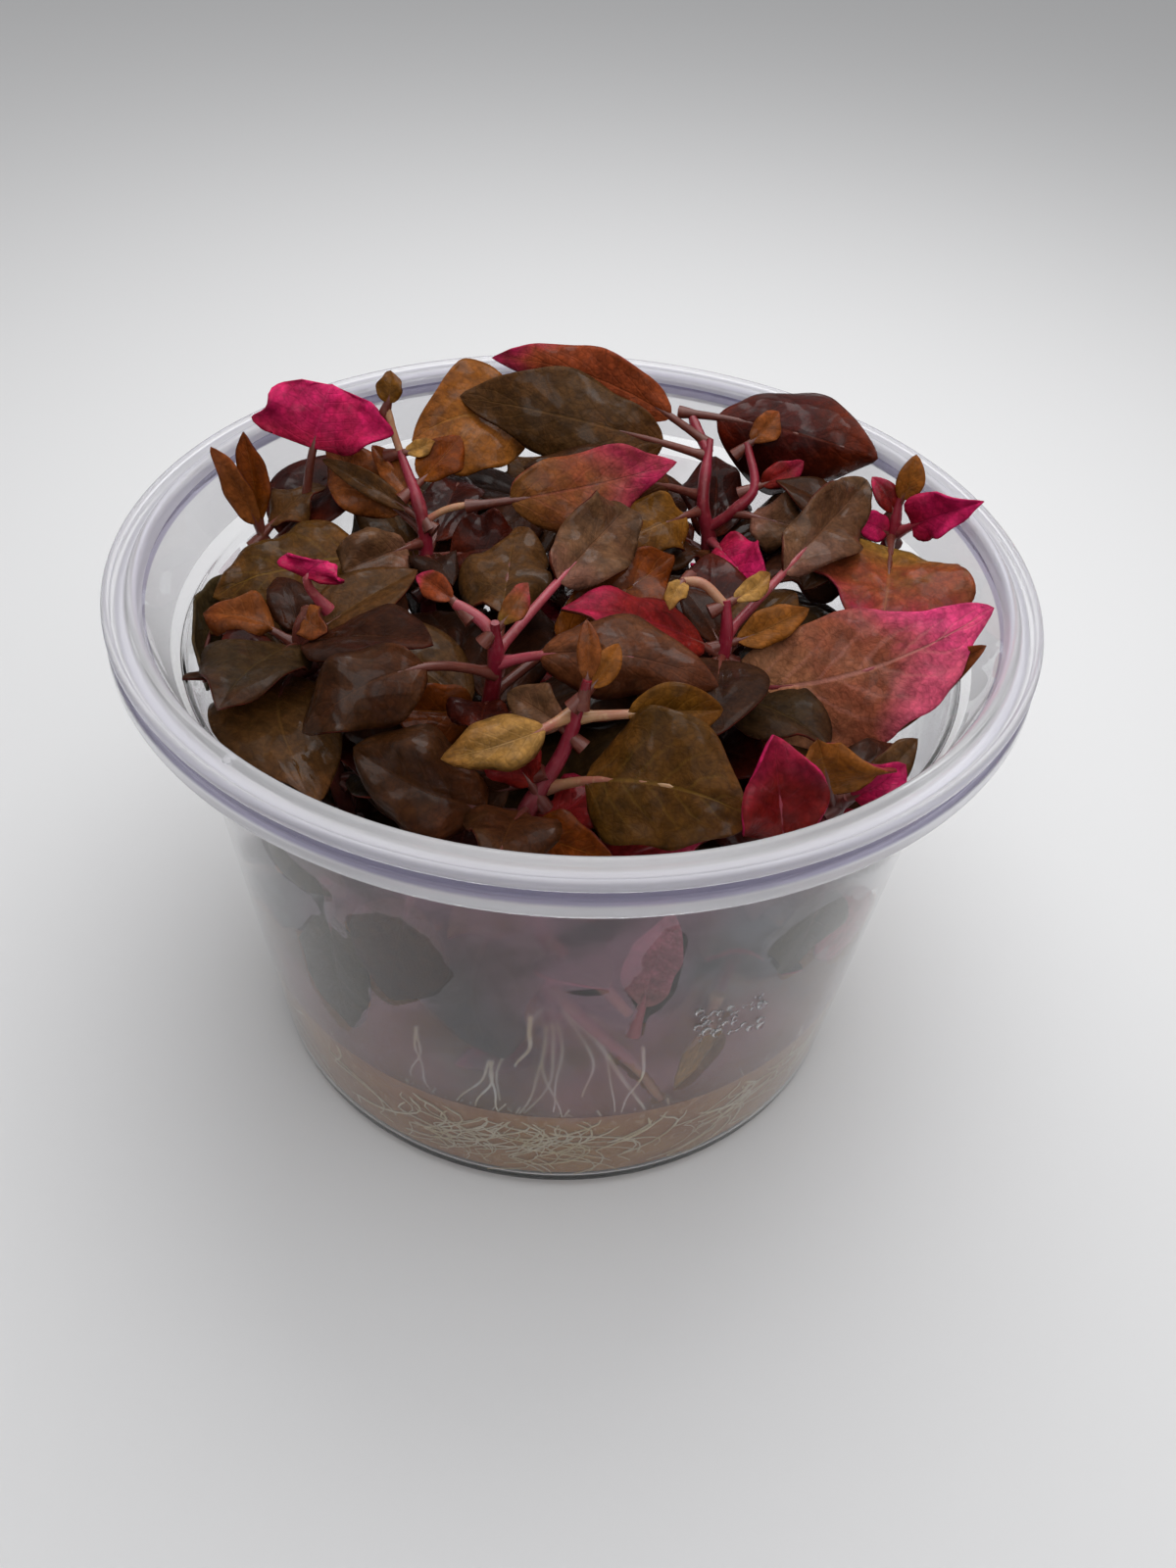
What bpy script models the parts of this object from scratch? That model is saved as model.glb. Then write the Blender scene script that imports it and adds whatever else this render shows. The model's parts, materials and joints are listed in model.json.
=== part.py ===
"""A cup of tissue cultured dwarf Alternanthera reineckii, built at its real size.

Ten plantlets stand in a bed of nutrient gel in an open, tapered plastic cup. The origin is
on the surface that the cup stands on, below its middle, with +Z up. All the numbers
below are millimetres, and METRE turns them into scene units.
"""

import itertools
import math
from dataclasses import dataclass

import bmesh
import bpy
from mathutils import Matrix, Vector
from mathutils.bvhtree import BVHTree

METRE = 0.001

# The cup.
RIM_RADIUS = 48.5
CUP_HEIGHT = 63.9
LIP_RADIUS = 45.1
SHOULDER_RADIUS = 42.6
SHOULDER_HEIGHT = 56.6
WALL_TOP_RADIUS = 42.3
WALL_BASE_RADIUS = 36.5
WALL = 1.0
SKIRT_HEIGHT = 4.4
ROUND_STEPS = 32
GEL_STEPS = 24

# The gel, and the clearance that touching pieces keep.
GEL_TOP = 14.4
MENISCUS = 1.2
CLEARANCE = 0.3

# The stems and the roots.
STEM_RADIUS = 1.2
BRANCH_RADIUS = 0.75
ROOT_TUFT_RADIUS = 5.0
ROOT_TUFT_TOP = 14.2
ROOT_TUFT_BOTTOM = 2.4
CROWN_RADIUS = 1.5

# The leaves.
BLADE_THICKNESS = 0.7
PETIOLE_RADIUS = 0.5
SEAT_GAP = 0.5
LARGE_WIDTH = 9.0
SMALL_WIDTH = 7.0

# The small lower leaves of each plantlet: the heights of its pairs, and the lengths to try.
# Some plantlets have no pair near their tops, where larger leaves or open gaps are.
LOWER_PAIRS = (25.0, 37.0, 48.0, 54.5)
LOWER_LENGTHS = (23.0, 20.0, 17.0, 14.0, 11.5, 9.0)
LOWER_WIDTH_SHARE = 0.72
OPEN_PLANTLETS = ("front", "front_right", "left", "back", "back_right")

# The ways that a leaf's top can face.
UP = (0.0, 0.0, 1.0)
FORWARD = (0.0, -0.75, 0.65)
STEEP = (0.0, -0.95, 0.3)
LEVEL = (0.0, -0.4, 0.9)
LEFT_WALL = (-0.8, -0.3, 0.5)
FRONT_LEFT_WALL = (-0.5, -0.85, 0.1)
FRONT_WALL = (-0.1, -0.98, 0.1)
FRONT_RIGHT_WALL = (0.65, -0.75, 0.1)

# Leaf colours, one name for each kind of leaf.
TONES = {
    "olive": (0.13, 0.11, 0.035),
    "rust": (0.30, 0.09, 0.03),
    "plum": (0.11, 0.045, 0.045),
    "maroon": (0.14, 0.015, 0.02),
    "rose": (0.45, 0.08, 0.13),
    "pink": (0.75, 0.06, 0.30),
    "gold": (0.38, 0.22, 0.04),
}

# Each plantlet: its stem from the gel to the growing tip, its side shoots, and the small
# leaflets at their ends as (foot, tip, width).
PLANTLETS = {
    "centre": {
        "stem": [(-8, -8, 13), (-9, -11, 30), (-8.5, -14, 48), (-7.3, -15.5, 60), (-7.3, -16, 65.5)],
        "shoots": [[(-7.3, -15.9, 64), (-9, -15, 65.2), (-11.4, -14, 66)]],
        "leaflets": [
            ((-11, -14.2, 65.8), (-15.5, -10.5, 66.5), 2.4),
            ((-7.3, -15.8, 64.5), (-4.5, -12, 67.5), 2.2),
            ((-8.5, -14, 52), (-18, -17.6, 55), 5.5),
        ],
    },
    "front": {
        "stem": [
            (0, -27, 13),
            (0.5, -30, 30),
            (-2, -29.5, 42),
            (-3.6, -28, 50),
            (0, -24.6, 57),
            (2, -23.4, 65),
        ],
        "shoots": [
            [(0.2, -30.4, 32), (3.5, -35.2, 32), (9.5, -35.2, 24), (12.6, -33.4, 16.4)],
            [(-3.3, -28.2, 48), (-7.8, -32.2, 50), (-11.4, -34.9, 50.6)],
            [(-1, -29.8, 39), (4.5, -33.8, 36.8), (8.2, -35.8, 33.6)],
        ],
        "leaflets": [
            ((0.1, -28.2, 18.5), (-9.5, -33.6, 20.8), 3.4),
            ((1.8, -23.6, 64), (1.5, -19.5, 69), 2.4),
            ((1.8, -23.6, 63.5), (4.6, -19.5, 66.5), 2.6),
            ((0.6, -24.2, 59), (-5.5, -20.5, 60.5), 4.0),
            ((-2.2, -26.8, 53.5), (-7.5, -24, 58.8), 4.4),
            ((-3.2, -28.2, 50.5), (5.5, -34.5, 53), 5.0),
        ],
    },
    "left": {
        "stem": [(-23, -6, 13), (-25.5, -7.5, 32), (-28, -8.5, 50), (-28.4, -8.6, 57), (-27.4, -7.8, 60)],
        "shoots": [
            [(-27.3, -8.1, 43.5), (-25.6, -20, 46.5), (-21.9, -30.6, 45.4)],
            [(-28, -8.6, 49.5), (-30.6, -18, 51), (-29.6, -25.8, 49.6)],
        ],
        "leaflets": [((-27.6, -8, 59), (-24.5, -12.5, 60.5), 3.2)],
    },
    "back_left": {
        "stem": [(-15, 9, 13), (-16.5, 10, 32), (-17.6, 9.6, 50), (-17.9, 10.2, 60), (-21, 15.2, 66)],
        "shoots": [
            [(-20.8, 15, 65.4), (-22, 16.2, 68.5), (-22.6, 17, 71)],
            [(-17.9, 10.2, 60), (-15.4, 10.9, 61.4), (-12.6, 11.5, 62)],
        ],
        "leaflets": [
            ((-22.5, 16.8, 70.6), (-22.2, 18.4, 74), 2.6),
            ((-20.9, 15.1, 65.8), (-17.2, 16.4, 66.8), 1.8),
            ((-18, 10.5, 60.6), (-24.6, 17.8, 65), 3.4),
            ((-19.2, 12.4, 63), (-14.6, 18.8, 66.4), 4.2),
            ((-18, 10.3, 60.2), (-30.2, 16.4, 63.6), 2.8),
        ],
    },
    "far_left": {
        "stem": [(-26, 9, 13), (-30, 10.5, 32), (-35.2, 11.4, 50), (-37, 11.4, 57)],
        "shoots": [[(-34.4, 11.3, 47), (-33, 13.4, 54), (-32.4, 14.9, 58.6)]],
        "leaflets": [
            ((-36.8, 11.4, 56.2), (-41.4, 11.6, 67), 2.6),
            ((-36.9, 11.4, 56.4), (-38.4, 14.6, 67.5), 3.0),
        ],
    },
    "back": {
        "stem": [(-2, 22, 13), (-3, 25, 32), (-4, 28, 50), (-4, 30, 60)],
        "shoots": [],
        "leaflets": [((-4, 29.8, 59), (1.5, 28.5, 61.5), 3.6)],
    },
    "back_right": {
        "stem": [(11, 15, 13), (13.5, 18, 32), (15.7, 20.8, 50), (14.2, 22.4, 58), (14.6, 27.6, 63.5)],
        "shoots": [
            [(15.2, 21.4, 55), (18, 21.6, 57.5), (20.2, 22.9, 60.2), (19, 27, 63.6)],
            [(14.5, 26.6, 62.3), (13.2, 29, 63.6), (12.4, 31, 64.4)],
        ],
        "leaflets": [
            ((20.1, 22.9, 60), (25.8, 25, 62.8), 2.6),
            ((19, 26.8, 63.4), (22.6, 30, 66.4), 3.0),
        ],
    },
    "right_back": {
        "stem": [(25, 9, 13), (29, 12, 32), (34, 15.6, 50), (36, 16.4, 58), (36.4, 17.6, 63)],
        "shoots": [],
        "leaflets": [
            ((36.3, 17.4, 62), (37.6, 19.4, 67.6), 3.4),
            ((36.2, 17, 60.6), (33, 19, 64.6), 3.0),
            ((36, 16.4, 58.4), (30.6, 14.6, 61.5), 3.2),
        ],
    },
    "right": {
        "stem": [(12, -6, 13), (13.6, -5.5, 32), (15, -5.8, 50), (16.2, -5.2, 57), (15.8, -3.6, 61.5)],
        "shoots": [[(15.9, -3.8, 60.8), (13.4, -2.6, 62.6), (11, -2.2, 62.6)]],
        "leaflets": [
            ((11.3, -2.2, 62.6), (9.8, -6.6, 61.8), 2.0),
            ((15.8, -3.6, 61), (20.5, 0.5, 62.5), 2.2),
            ((16.2, -5.2, 57), (24.8, -2.4, 60.4), 3.4),
        ],
    },
    "front_right": {
        "stem": [(17, -17, 13), (20.5, -20, 32), (25.6, -24.4, 48), (27.4, -26.6, 55.5)],
        "shoots": [
            [(20.3, -19.8, 31.6), (18.6, -26, 33), (17.1, -31.2, 32)],
            [(26.4, -25.4, 51.5), (24.6, -29.4, 51.6), (22, -32.4, 52.4)],
        ],
        "leaflets": [
            ((27.2, -26.4, 55), (32.2, -26, 59.6), 4.2),
            ((27, -26.2, 54), (34.6, -19.6, 57.6), 3.2),
        ],
    },
}


@dataclass
class Leaf:
    """One leaf: where it starts, where its tip is, and how its blade bends.

    `seat` is a height on the plantlet's stem, or a point at a side shoot's end. `bow` is how
    far the midrib bows out of the leaf's top, `sway` how far it bends to the side, `fold` the
    tangent of the angle between the blade's halves, and `petiole` the stalk's share.
    """

    plantlet: str
    seat: object
    tip: tuple
    width: float
    tone: str
    face: tuple = FORWARD
    bow: float = 1.5
    sway: float = 0.0
    fold: float = 0.0
    petiole: float = 0.13


# The leaves that show most come first, so they keep their place.
LEAVES = (
    Leaf("right", 52.0, (43.0, -5.0, 64.0), 16.5, "rose", bow=2.0, sway=3.0, fold=-0.1, petiole=0.03),
    Leaf("centre", 60.5, (14.6, -17.0, 60.5), 6.4, "plum", bow=2.2, sway=-1.6, fold=-0.25),
    Leaf("centre", 61.5, (5.0, 9.5, 64.0), 6.8, "plum", fold=0.25, petiole=0.36),
    Leaf("centre", 60.0, (-24.4, -26.0, 58.5), 6.8, "plum", bow=2.6, sway=2.2, fold=-0.2, petiole=0.3),
    Leaf("front", 54.0, (18.0, -31.6, 56.8), 11.5, "olive", bow=2.2, sway=-1.6, fold=-0.1),
    Leaf("back_left", (-11.3, 11.6, 62.0), (10.4, 18.6, 65.0), 8.0, "rose", sway=0.8),
    Leaf("back_right", 62.5, (-15.8, 29.4, 66.0), 9.2, "olive", bow=2.4, fold=-0.15),
    Leaf("back_right", 63.2, (-12.7, 37.4, 67.5), 6.6, "rust", STEEP, bow=2.0, sway=2.4, fold=-0.1),
    Leaf("back_right", (12.6, 31.8, 64.6), (34.2, 24.8, 64.0), 11.5, "maroon", sway=-0.6, fold=-0.3),
    Leaf("front", 60.5, (-10.8, -28.8, 59.0), 4.6, "gold", sway=-0.5, fold=0.15),
    Leaf("front", 60.5, (15.0, -21.4, 61.0), 5.6, "gold", bow=1.0, fold=0.4, petiole=0.25),
    Leaf("left", 59.5, (-25.4, -5.6, 64.4), 6.0, "pink", STEEP, bow=0.6, sway=-1.5, fold=0.2, petiole=0.45),
    Leaf("far_left", (-32.2, 15.4, 59.6), (-29.4, 21.0, 70.6), 12.5, "pink", STEEP, fold=0.3, petiole=0.42),
    Leaf("right_back", 59.5, (43.8, 10.4, 67.2), 4.6, "pink", bow=1.0, fold=0.4),
    Leaf("right_back", 59.0, (33.0, -2.0, 57.0), 15.0, "rose", LEVEL, fold=0.1),
    Leaf("right", 58.5, (33.6, 19.4, 63.0), 6.8, "plum", fold=0.3, petiole=0.3),
    Leaf("back_left", 58.0, (-25.6, 1.2, 58.6), 6.8, "plum", bow=0.6, fold=0.35),
    Leaf("back_left", 56.0, (-39.6, -0.6, 55.4), 12.0, "olive", LEVEL, sway=1.0, petiole=0.2),
    Leaf("left", 54.0, (-22.4, -30.6, 54.5), 13.0, "olive", bow=2.0, sway=3.4, fold=-0.1),
    Leaf("front", 50.5, (-19.8, -25.8, 57.0), 9.6, "plum", bow=2.0, sway=-0.8, fold=0.15),
    Leaf("front", 54.5, (-13.4, -27.4, 57.2), 8.6, "plum", bow=2.0, sway=-2.0, fold=0.35),
    Leaf("front_right", 54.0, (23.2, -27.4, 63.2), 9.0, "rust", STEEP, bow=0.8, fold=0.2),
    Leaf("front_right", (21.3, -32.9, 53.6), (18.8, -29.8, 65.0), 7.4, "pink", STEEP, bow=0.8, fold=0.4),
    Leaf("centre", 59.0, (-7.4, 9.6, 60.4), 8.6, "olive", bow=1.0, petiole=0.3),
    Leaf("centre", 56.5, (10.4, 5.9, 60.5), 8.0, "rust", bow=1.0, petiole=0.3),
    Leaf("back_right", 57.0, (5.0, 13.4, 57.4), 7.0, "gold", bow=1.0),
    Leaf("back_right", 59.0, (-7.4, 21.4, 61.5), 7.5, "plum", bow=3.2, fold=-0.3),
    Leaf("back", 59.5, (-21.0, 24.0, 62.6), 14.0, "gold", sway=3.0),
    Leaf("left", 56.5, (-38.4, -7.4, 58.0), 5.4, "rust", UP, bow=1.0, fold=0.4),
    Leaf("left", 55.0, (-35.6, -14.6, 57.0), 7.5, "maroon", UP, fold=0.2),
    Leaf("back_right", (19.0, 21.0, 57.4), (27.6, 17.6, 57.6), 6.2, "plum", bow=0.8, fold=0.4),
    Leaf("back_right", 53.5, (20.6, 5.4, 56.0), 7.0, "pink", bow=1.0, fold=0.2),
    Leaf("right", 45.0, (42.6, -9.4, 60.6), 9.0, "rust", bow=0.6, sway=2.0, fold=0.2),
    Leaf("back_left", 58.5, (-30.6, 21.4, 62.6), 6.4, "rust", STEEP, bow=1.0, fold=0.2),
    Leaf("back_left", 56.0, (-6.5, 11.0, 57.0), 9.5, "maroon"),
    Leaf("right", 45.0, (20.6, -19.0, 52.5), 10.0, "maroon"),
    Leaf("left", 51.0, (-37.3, -20.0, 59.2), 6.0, "plum", UP, fold=0.3),
    Leaf("far_left", 52.0, (-37.6, -14.6, 54.6), 8.0, "olive", LEFT_WALL, bow=2.4),
    Leaf("left", (-21.4, -32.0, 44.6), (-21.7, -29.5, 19.5), 7.5, "olive", FRONT_LEFT_WALL, bow=0.8),
    Leaf("front", (-12.4, -35.5, 50.4), (-15.8, -34.2, 31.5), 10.5, "plum", FRONT_LEFT_WALL, bow=1.0),
    Leaf("left", (-29.0, -27.0, 49.0), (-20.6, -33.2, 43.5), 6.4, "olive", FRONT_LEFT_WALL, bow=0.8),
    Leaf("front", 46.0, (-5.0, -34.8, 24.0), 11.0, "olive", FRONT_WALL, sway=3.0),
    Leaf("front", (9.0, -36.7, 33.4), (10.9, -38.0, 51.0), 4.2, "pink", FRONT_WALL, bow=0.4, fold=0.2),
    Leaf("front_right", 50.0, (24.0, -29.8, 34.0), 9.0, "olive", FRONT_RIGHT_WALL, petiole=0.25),
    Leaf("front_right", 46.0, (31.4, -19.4, 26.5), 8.5, "rose", FRONT_RIGHT_WALL, bow=2.5, petiole=0.2),
    Leaf("front_right", (16.8, -32.3, 31.4), (14.0, -33.6, 18.5), 4.4, "gold", FRONT_RIGHT_WALL, bow=0.6),
    Leaf("back", 52.0, (-20.0, 32.0, 50.0), 12.0, "olive", UP),
    Leaf("back", 50.0, (14.0, 35.0, 52.0), 12.0, "maroon", UP),
)

# How far a leaf may be moved to clear its neighbours: lifts and side steps of its tip,
# turns of its face in degrees, changes of its bow, and shares of its width.
TIP_LIFTS = (0.0, 1.0, -1.0, 2.0, -2.0, 3.5, -3.5, 5.0, -5.0)
TIP_STEPS = (0.0, 1.2, -1.2, 2.5, -2.5, 4.0, -4.0)
FACE_TURNS = (0.0, 9.0, -9.0, 18.0, -18.0, 30.0, -30.0, 45.0, -45.0)
BOW_CHANGES = (0.0, 1.2, -1.2)
WIDTH_SHARES = (1.0, 0.85, 0.7)

# A blade's cross section as (place across, height): a full one for the leaves, and a plain
# one for the small leaflets. The underside's inner points lie a little nearer to the midrib.
FULL_SECTION = (
    (-1.0, 0.0),
    (-0.5, 0.75),
    (0.0, 1.0),
    (0.5, 0.75),
    (1.0, 0.0),
    (0.42, -0.75),
    (0.0, -1.0),
    (-0.42, -0.75),
)
PLAIN_SECTION = ((-1.0, 0.0), (0.0, 1.0), (1.0, 0.0), (0.0, -1.0))

# The shares of the blade's length at which its rings lie, after the one at its foot.
LOWER_RINGS = (0.42,)
LEAFLET_RINGS = (0.2, 0.62)
LEAF_RINGS = (0.09, 0.34, 0.62, 0.86)
LARGE_RINGS = (0.07, 0.26, 0.48, 0.7, 0.89)


def clear_scene():
    for old in list(bpy.data.objects):
        bpy.data.objects.remove(old, do_unlink=True)


def new_collection(name, hidden=False):
    collection = bpy.data.collections.new(name)
    bpy.context.scene.collection.children.link(collection)
    collection.hide_render = hidden
    return collection


def make_material(name, colour, roughness=0.4, transmission=0.0):
    material = bpy.data.materials.new(name)
    material.use_nodes = True
    shader = material.node_tree.nodes["Principled BSDF"]
    shader.inputs["Base Color"].default_value = (*colour, 1.0)
    shader.inputs["Roughness"].default_value = roughness
    shader.inputs["Metallic"].default_value = 0.0
    shader.inputs["Transmission Weight"].default_value = transmission
    return material


def object_from_bmesh(name, shape, collection, material=None):
    bmesh.ops.recalc_face_normals(shape, faces=shape.faces)
    mesh = bpy.data.meshes.new(name)
    shape.to_mesh(mesh)
    shape.free()
    mesh.shade_smooth()
    mesh.set_sharp_from_angle(angle=math.radians(50))
    made = bpy.data.objects.new(name, mesh)
    if material:
        mesh.materials.append(material)
    collection.objects.link(made)
    return made


def turned(name, profile, steps, collection, material=None):
    """A solid turned about Z from a profile of (radius, height) that runs down its outer side."""
    mesh = bpy.data.meshes.new(name)
    points = [(radius * METRE, 0.0, height * METRE) for radius, height in profile]
    edges = [(index, index + 1) for index in range(len(points) - 1)]
    mesh.from_pydata(points, edges, [])
    made = bpy.data.objects.new(name, mesh)
    collection.objects.link(made)
    screw = made.modifiers.new("turn", "SCREW")
    screw.steps = steps
    screw.render_steps = steps
    screw.use_merge_vertices = True
    screw.merge_threshold = 0.00001
    screw.use_smooth_shade = True
    if material:
        mesh.materials.append(material)
    return made


def evaluated_bmesh(thing):
    """A bmesh of the object as its modifiers leave it, in world space."""
    graph = bpy.context.evaluated_depsgraph_get()
    mesh = bpy.data.meshes.new_from_object(thing.evaluated_get(graph))
    shape = bmesh.new()
    shape.from_mesh(mesh)
    shape.transform(thing.matrix_world)
    bpy.data.meshes.remove(mesh)
    bmesh.ops.triangulate(shape, faces=shape.faces)
    return shape


def tree_of(thing):
    shape = evaluated_bmesh(thing)
    tree = BVHTree.FromBMesh(shape)
    shape.free()
    return tree


def wall_radius(height):
    """The radius of the cup's outer wall, which tapers evenly down to its base."""
    share = (height - 2.0) / (SHOULDER_HEIGHT - 2.0)
    return WALL_BASE_RADIUS + (WALL_TOP_RADIUS - WALL_BASE_RADIUS) * share


def build_cup(collection):
    """The cup: floor, wall, shoulder, lip, and a rim folded down into a ribbed skirt."""
    skirt_foot = CUP_HEIGHT - SKIRT_HEIGHT
    profile = [
        (0.0, WALL),
        (wall_radius(2.0) - WALL - 1.6, WALL),
        (wall_radius(3.0) - WALL, WALL + 1.6),
        (wall_radius(SHOULDER_HEIGHT) - WALL, SHOULDER_HEIGHT - 1.2),
        (SHOULDER_RADIUS, SHOULDER_HEIGHT),
        (LIP_RADIUS - 0.7, CUP_HEIGHT - 1.6),
        (LIP_RADIUS, CUP_HEIGHT - 0.2),
        (LIP_RADIUS + 1.3, CUP_HEIGHT),
        (RIM_RADIUS - 0.8, CUP_HEIGHT - 0.3),
        (RIM_RADIUS - 0.4, CUP_HEIGHT - 1.1),
        (RIM_RADIUS - 0.7, CUP_HEIGHT - 2.2),
        (RIM_RADIUS, CUP_HEIGHT - 3.4),
        (RIM_RADIUS - 0.1, skirt_foot),
        (RIM_RADIUS - 0.9, skirt_foot),
        (RIM_RADIUS - 1.3, CUP_HEIGHT - 1.6),
        (LIP_RADIUS + 1.0, CUP_HEIGHT - 1.2),
        (LIP_RADIUS + 0.3, CUP_HEIGHT - 2.2),
        (SHOULDER_RADIUS + 0.9, SHOULDER_HEIGHT - 0.6),
        (WALL_TOP_RADIUS, SHOULDER_HEIGHT - 1.8),
        (wall_radius(2.0), 2.0),
        (wall_radius(2.0) - 1.8, 0.0),
        (0.0, 0.0),
    ]
    material = make_material("cup", (0.86, 0.86, 0.92), 0.15, 0.9)
    return turned("cup", profile, ROUND_STEPS, collection, material)


def gel_radius(height):
    return wall_radius(height) - WALL - CLEARANCE


def build_gel(collection):
    """The bed of gel: it fills the cup's foot and climbs a little where it meets the wall."""
    floor = WALL + CLEARANCE
    profile = [
        (0.0, GEL_TOP),
        (gel_radius(GEL_TOP) - 4.0, GEL_TOP + 0.05),
        (gel_radius(GEL_TOP) - 1.2, GEL_TOP + 0.4),
        (gel_radius(GEL_TOP + MENISCUS), GEL_TOP + MENISCUS),
        (gel_radius(3.2), 3.2),
        (wall_radius(2.0) - WALL - 0.9, floor + 0.6),
        (wall_radius(2.0) - WALL - 2.2, floor),
        (0.0, floor),
    ]
    material = make_material("gel", (0.62, 0.52, 0.36), 0.3, 0.6)
    return turned("gel", profile, GEL_STEPS, collection, material)


def smooth_path(points, pieces):
    """Points along a Catmull-Rom curve through the given points, `pieces` to each span."""
    knots = [Vector(point) for point in points]
    knots = [knots[0] * 2 - knots[1], *knots, knots[-1] * 2 - knots[-2]]
    path = []
    for start in range(1, len(knots) - 2):
        before, here, there, after = knots[start - 1 : start + 3]
        for step in range(pieces):
            t = step / pieces
            path.append(
                0.5
                * (
                    2 * here
                    + (there - before) * t
                    + (2 * before - 5 * here + 4 * there - after) * t**2
                    + (3 * here - before - 3 * there + after) * t**3
                )
            )
    path.append(knots[-2])
    return path


def tube(name, path, radii, sides, collection):
    """A capped tube along the path, as a mesh with its caps joined to its sides."""
    curve = bpy.data.curves.new(name, "CURVE")
    curve.dimensions = "3D"
    curve.bevel_depth = METRE
    curve.bevel_resolution = (sides - 4) // 2
    curve.use_fill_caps = True
    spline = curve.splines.new("POLY")
    spline.points.add(len(path) - 1)
    for point, place, radius in zip(spline.points, path, radii):
        point.co = (*(place * METRE), 1.0)
        point.radius = radius
    guide = bpy.data.objects.new(name, curve)
    collection.objects.link(guide)
    bpy.context.view_layer.update()
    graph = bpy.context.evaluated_depsgraph_get()
    mesh = bpy.data.meshes.new_from_object(guide.evaluated_get(graph))
    shape = bmesh.new()
    shape.from_mesh(mesh)
    bmesh.ops.remove_doubles(shape, verts=shape.verts, dist=0.000001)
    bpy.data.objects.remove(guide, do_unlink=True)
    bpy.data.meshes.remove(mesh)
    return object_from_bmesh(name, shape, collection)


def stem_radii(count):
    """The stem's radius at each of its points, thinner towards the growing tip."""
    return [STEM_RADIUS * (1.0 - 0.45 * (index / (count - 1)) ** 3) for index in range(count)]


def root_tuft(name, crown, grow, collection):
    """The roots' outer form: a ridged cone that widens down through the gel below the crown."""
    shape = bmesh.new()
    height = ROOT_TUFT_TOP - ROOT_TUFT_BOTTOM + 2 * grow
    made = bmesh.ops.create_cone(
        shape,
        cap_ends=True,
        segments=6,
        radius1=(ROOT_TUFT_RADIUS + grow) * METRE,
        radius2=(CROWN_RADIUS + grow) * METRE,
        depth=height * METRE,
    )
    for index, vertex in enumerate(made["verts"]):
        ridge = 1.0 if (index // 2) % 2 else 0.8
        vertex.co.x *= ridge
        vertex.co.y *= ridge
    middle = (ROOT_TUFT_TOP + ROOT_TUFT_BOTTOM) / 2
    shape.transform(Matrix.Translation(Vector((crown[0], crown[1], middle)) * METRE))
    return object_from_bmesh(name, shape, collection)


def leaf_frame(foot, tip, face):
    """The leaf's length, and its three directions: along, to its side, and out of its top."""
    along = tip - foot
    length = along.length
    along.normalize()
    out = Vector(face) - Vector(face).dot(along) * along
    out.normalize()
    return length, along, along.cross(out), out


def blade_share(share):
    """The half width at a share of the blade's length, as a share of the widest."""
    rise, fall = 0.55, 0.66
    widest = rise / (rise + fall)
    peak = widest**rise * (1.0 - widest) ** fall
    return (share**rise) * ((1.0 - share) ** fall) / peak


def leaf_shape(foot, tip, leaf, face, width, bow, rings, section=FULL_SECTION, grow=0.0):
    """A closed blade lofted through rings of points, from a pole at its foot to one at its tip.

    `grow` thickens the blade all round, for clearance tests.
    """
    length, along, side, out = leaf_frame(foot, tip, face)

    def midrib(t):
        hump = 4.0 * t * (1.0 - t)
        return foot + along * (length * t) + out * (bow * hump) + side * (leaf.sway * hump)

    shape = bmesh.new()
    loops = []
    stations = [(0.03, PETIOLE_RADIUS)]
    for share in rings:
        half = max(PETIOLE_RADIUS, 0.5 * width * blade_share(share))
        stations.append((leaf.petiole + (1.0 - leaf.petiole) * share, half))
    for t, half in stations:
        middle = midrib(t)
        thick = BLADE_THICKNESS / 2 * (1.2 - 0.4 * t) + grow
        reach = half + grow
        loop = []
        for across, level in section:
            rise = leaf.fold * abs(across) * half + level * thick
            place = middle + side * (across * reach) + out * rise
            loop.append(shape.verts.new(place * METRE))
        loops.append(loop)
    start = shape.verts.new((midrib(0.0) - along * grow) * METRE)
    end = shape.verts.new((midrib(1.0) + along * grow) * METRE)
    count = len(section)
    for index in range(count):
        after = (index + 1) % count
        shape.faces.new((start, loops[0][after], loops[0][index]))
        shape.faces.new((end, loops[-1][index], loops[-1][after]))
        for lower, upper in itertools.pairwise(loops):
            shape.faces.new((lower[index], lower[after], upper[after]))
            shape.faces.new((lower[index], upper[after], upper[index]))
    return shape


def tree_from(shape):
    tree = BVHTree.FromBMesh(shape)
    shape.free()
    return tree


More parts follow.
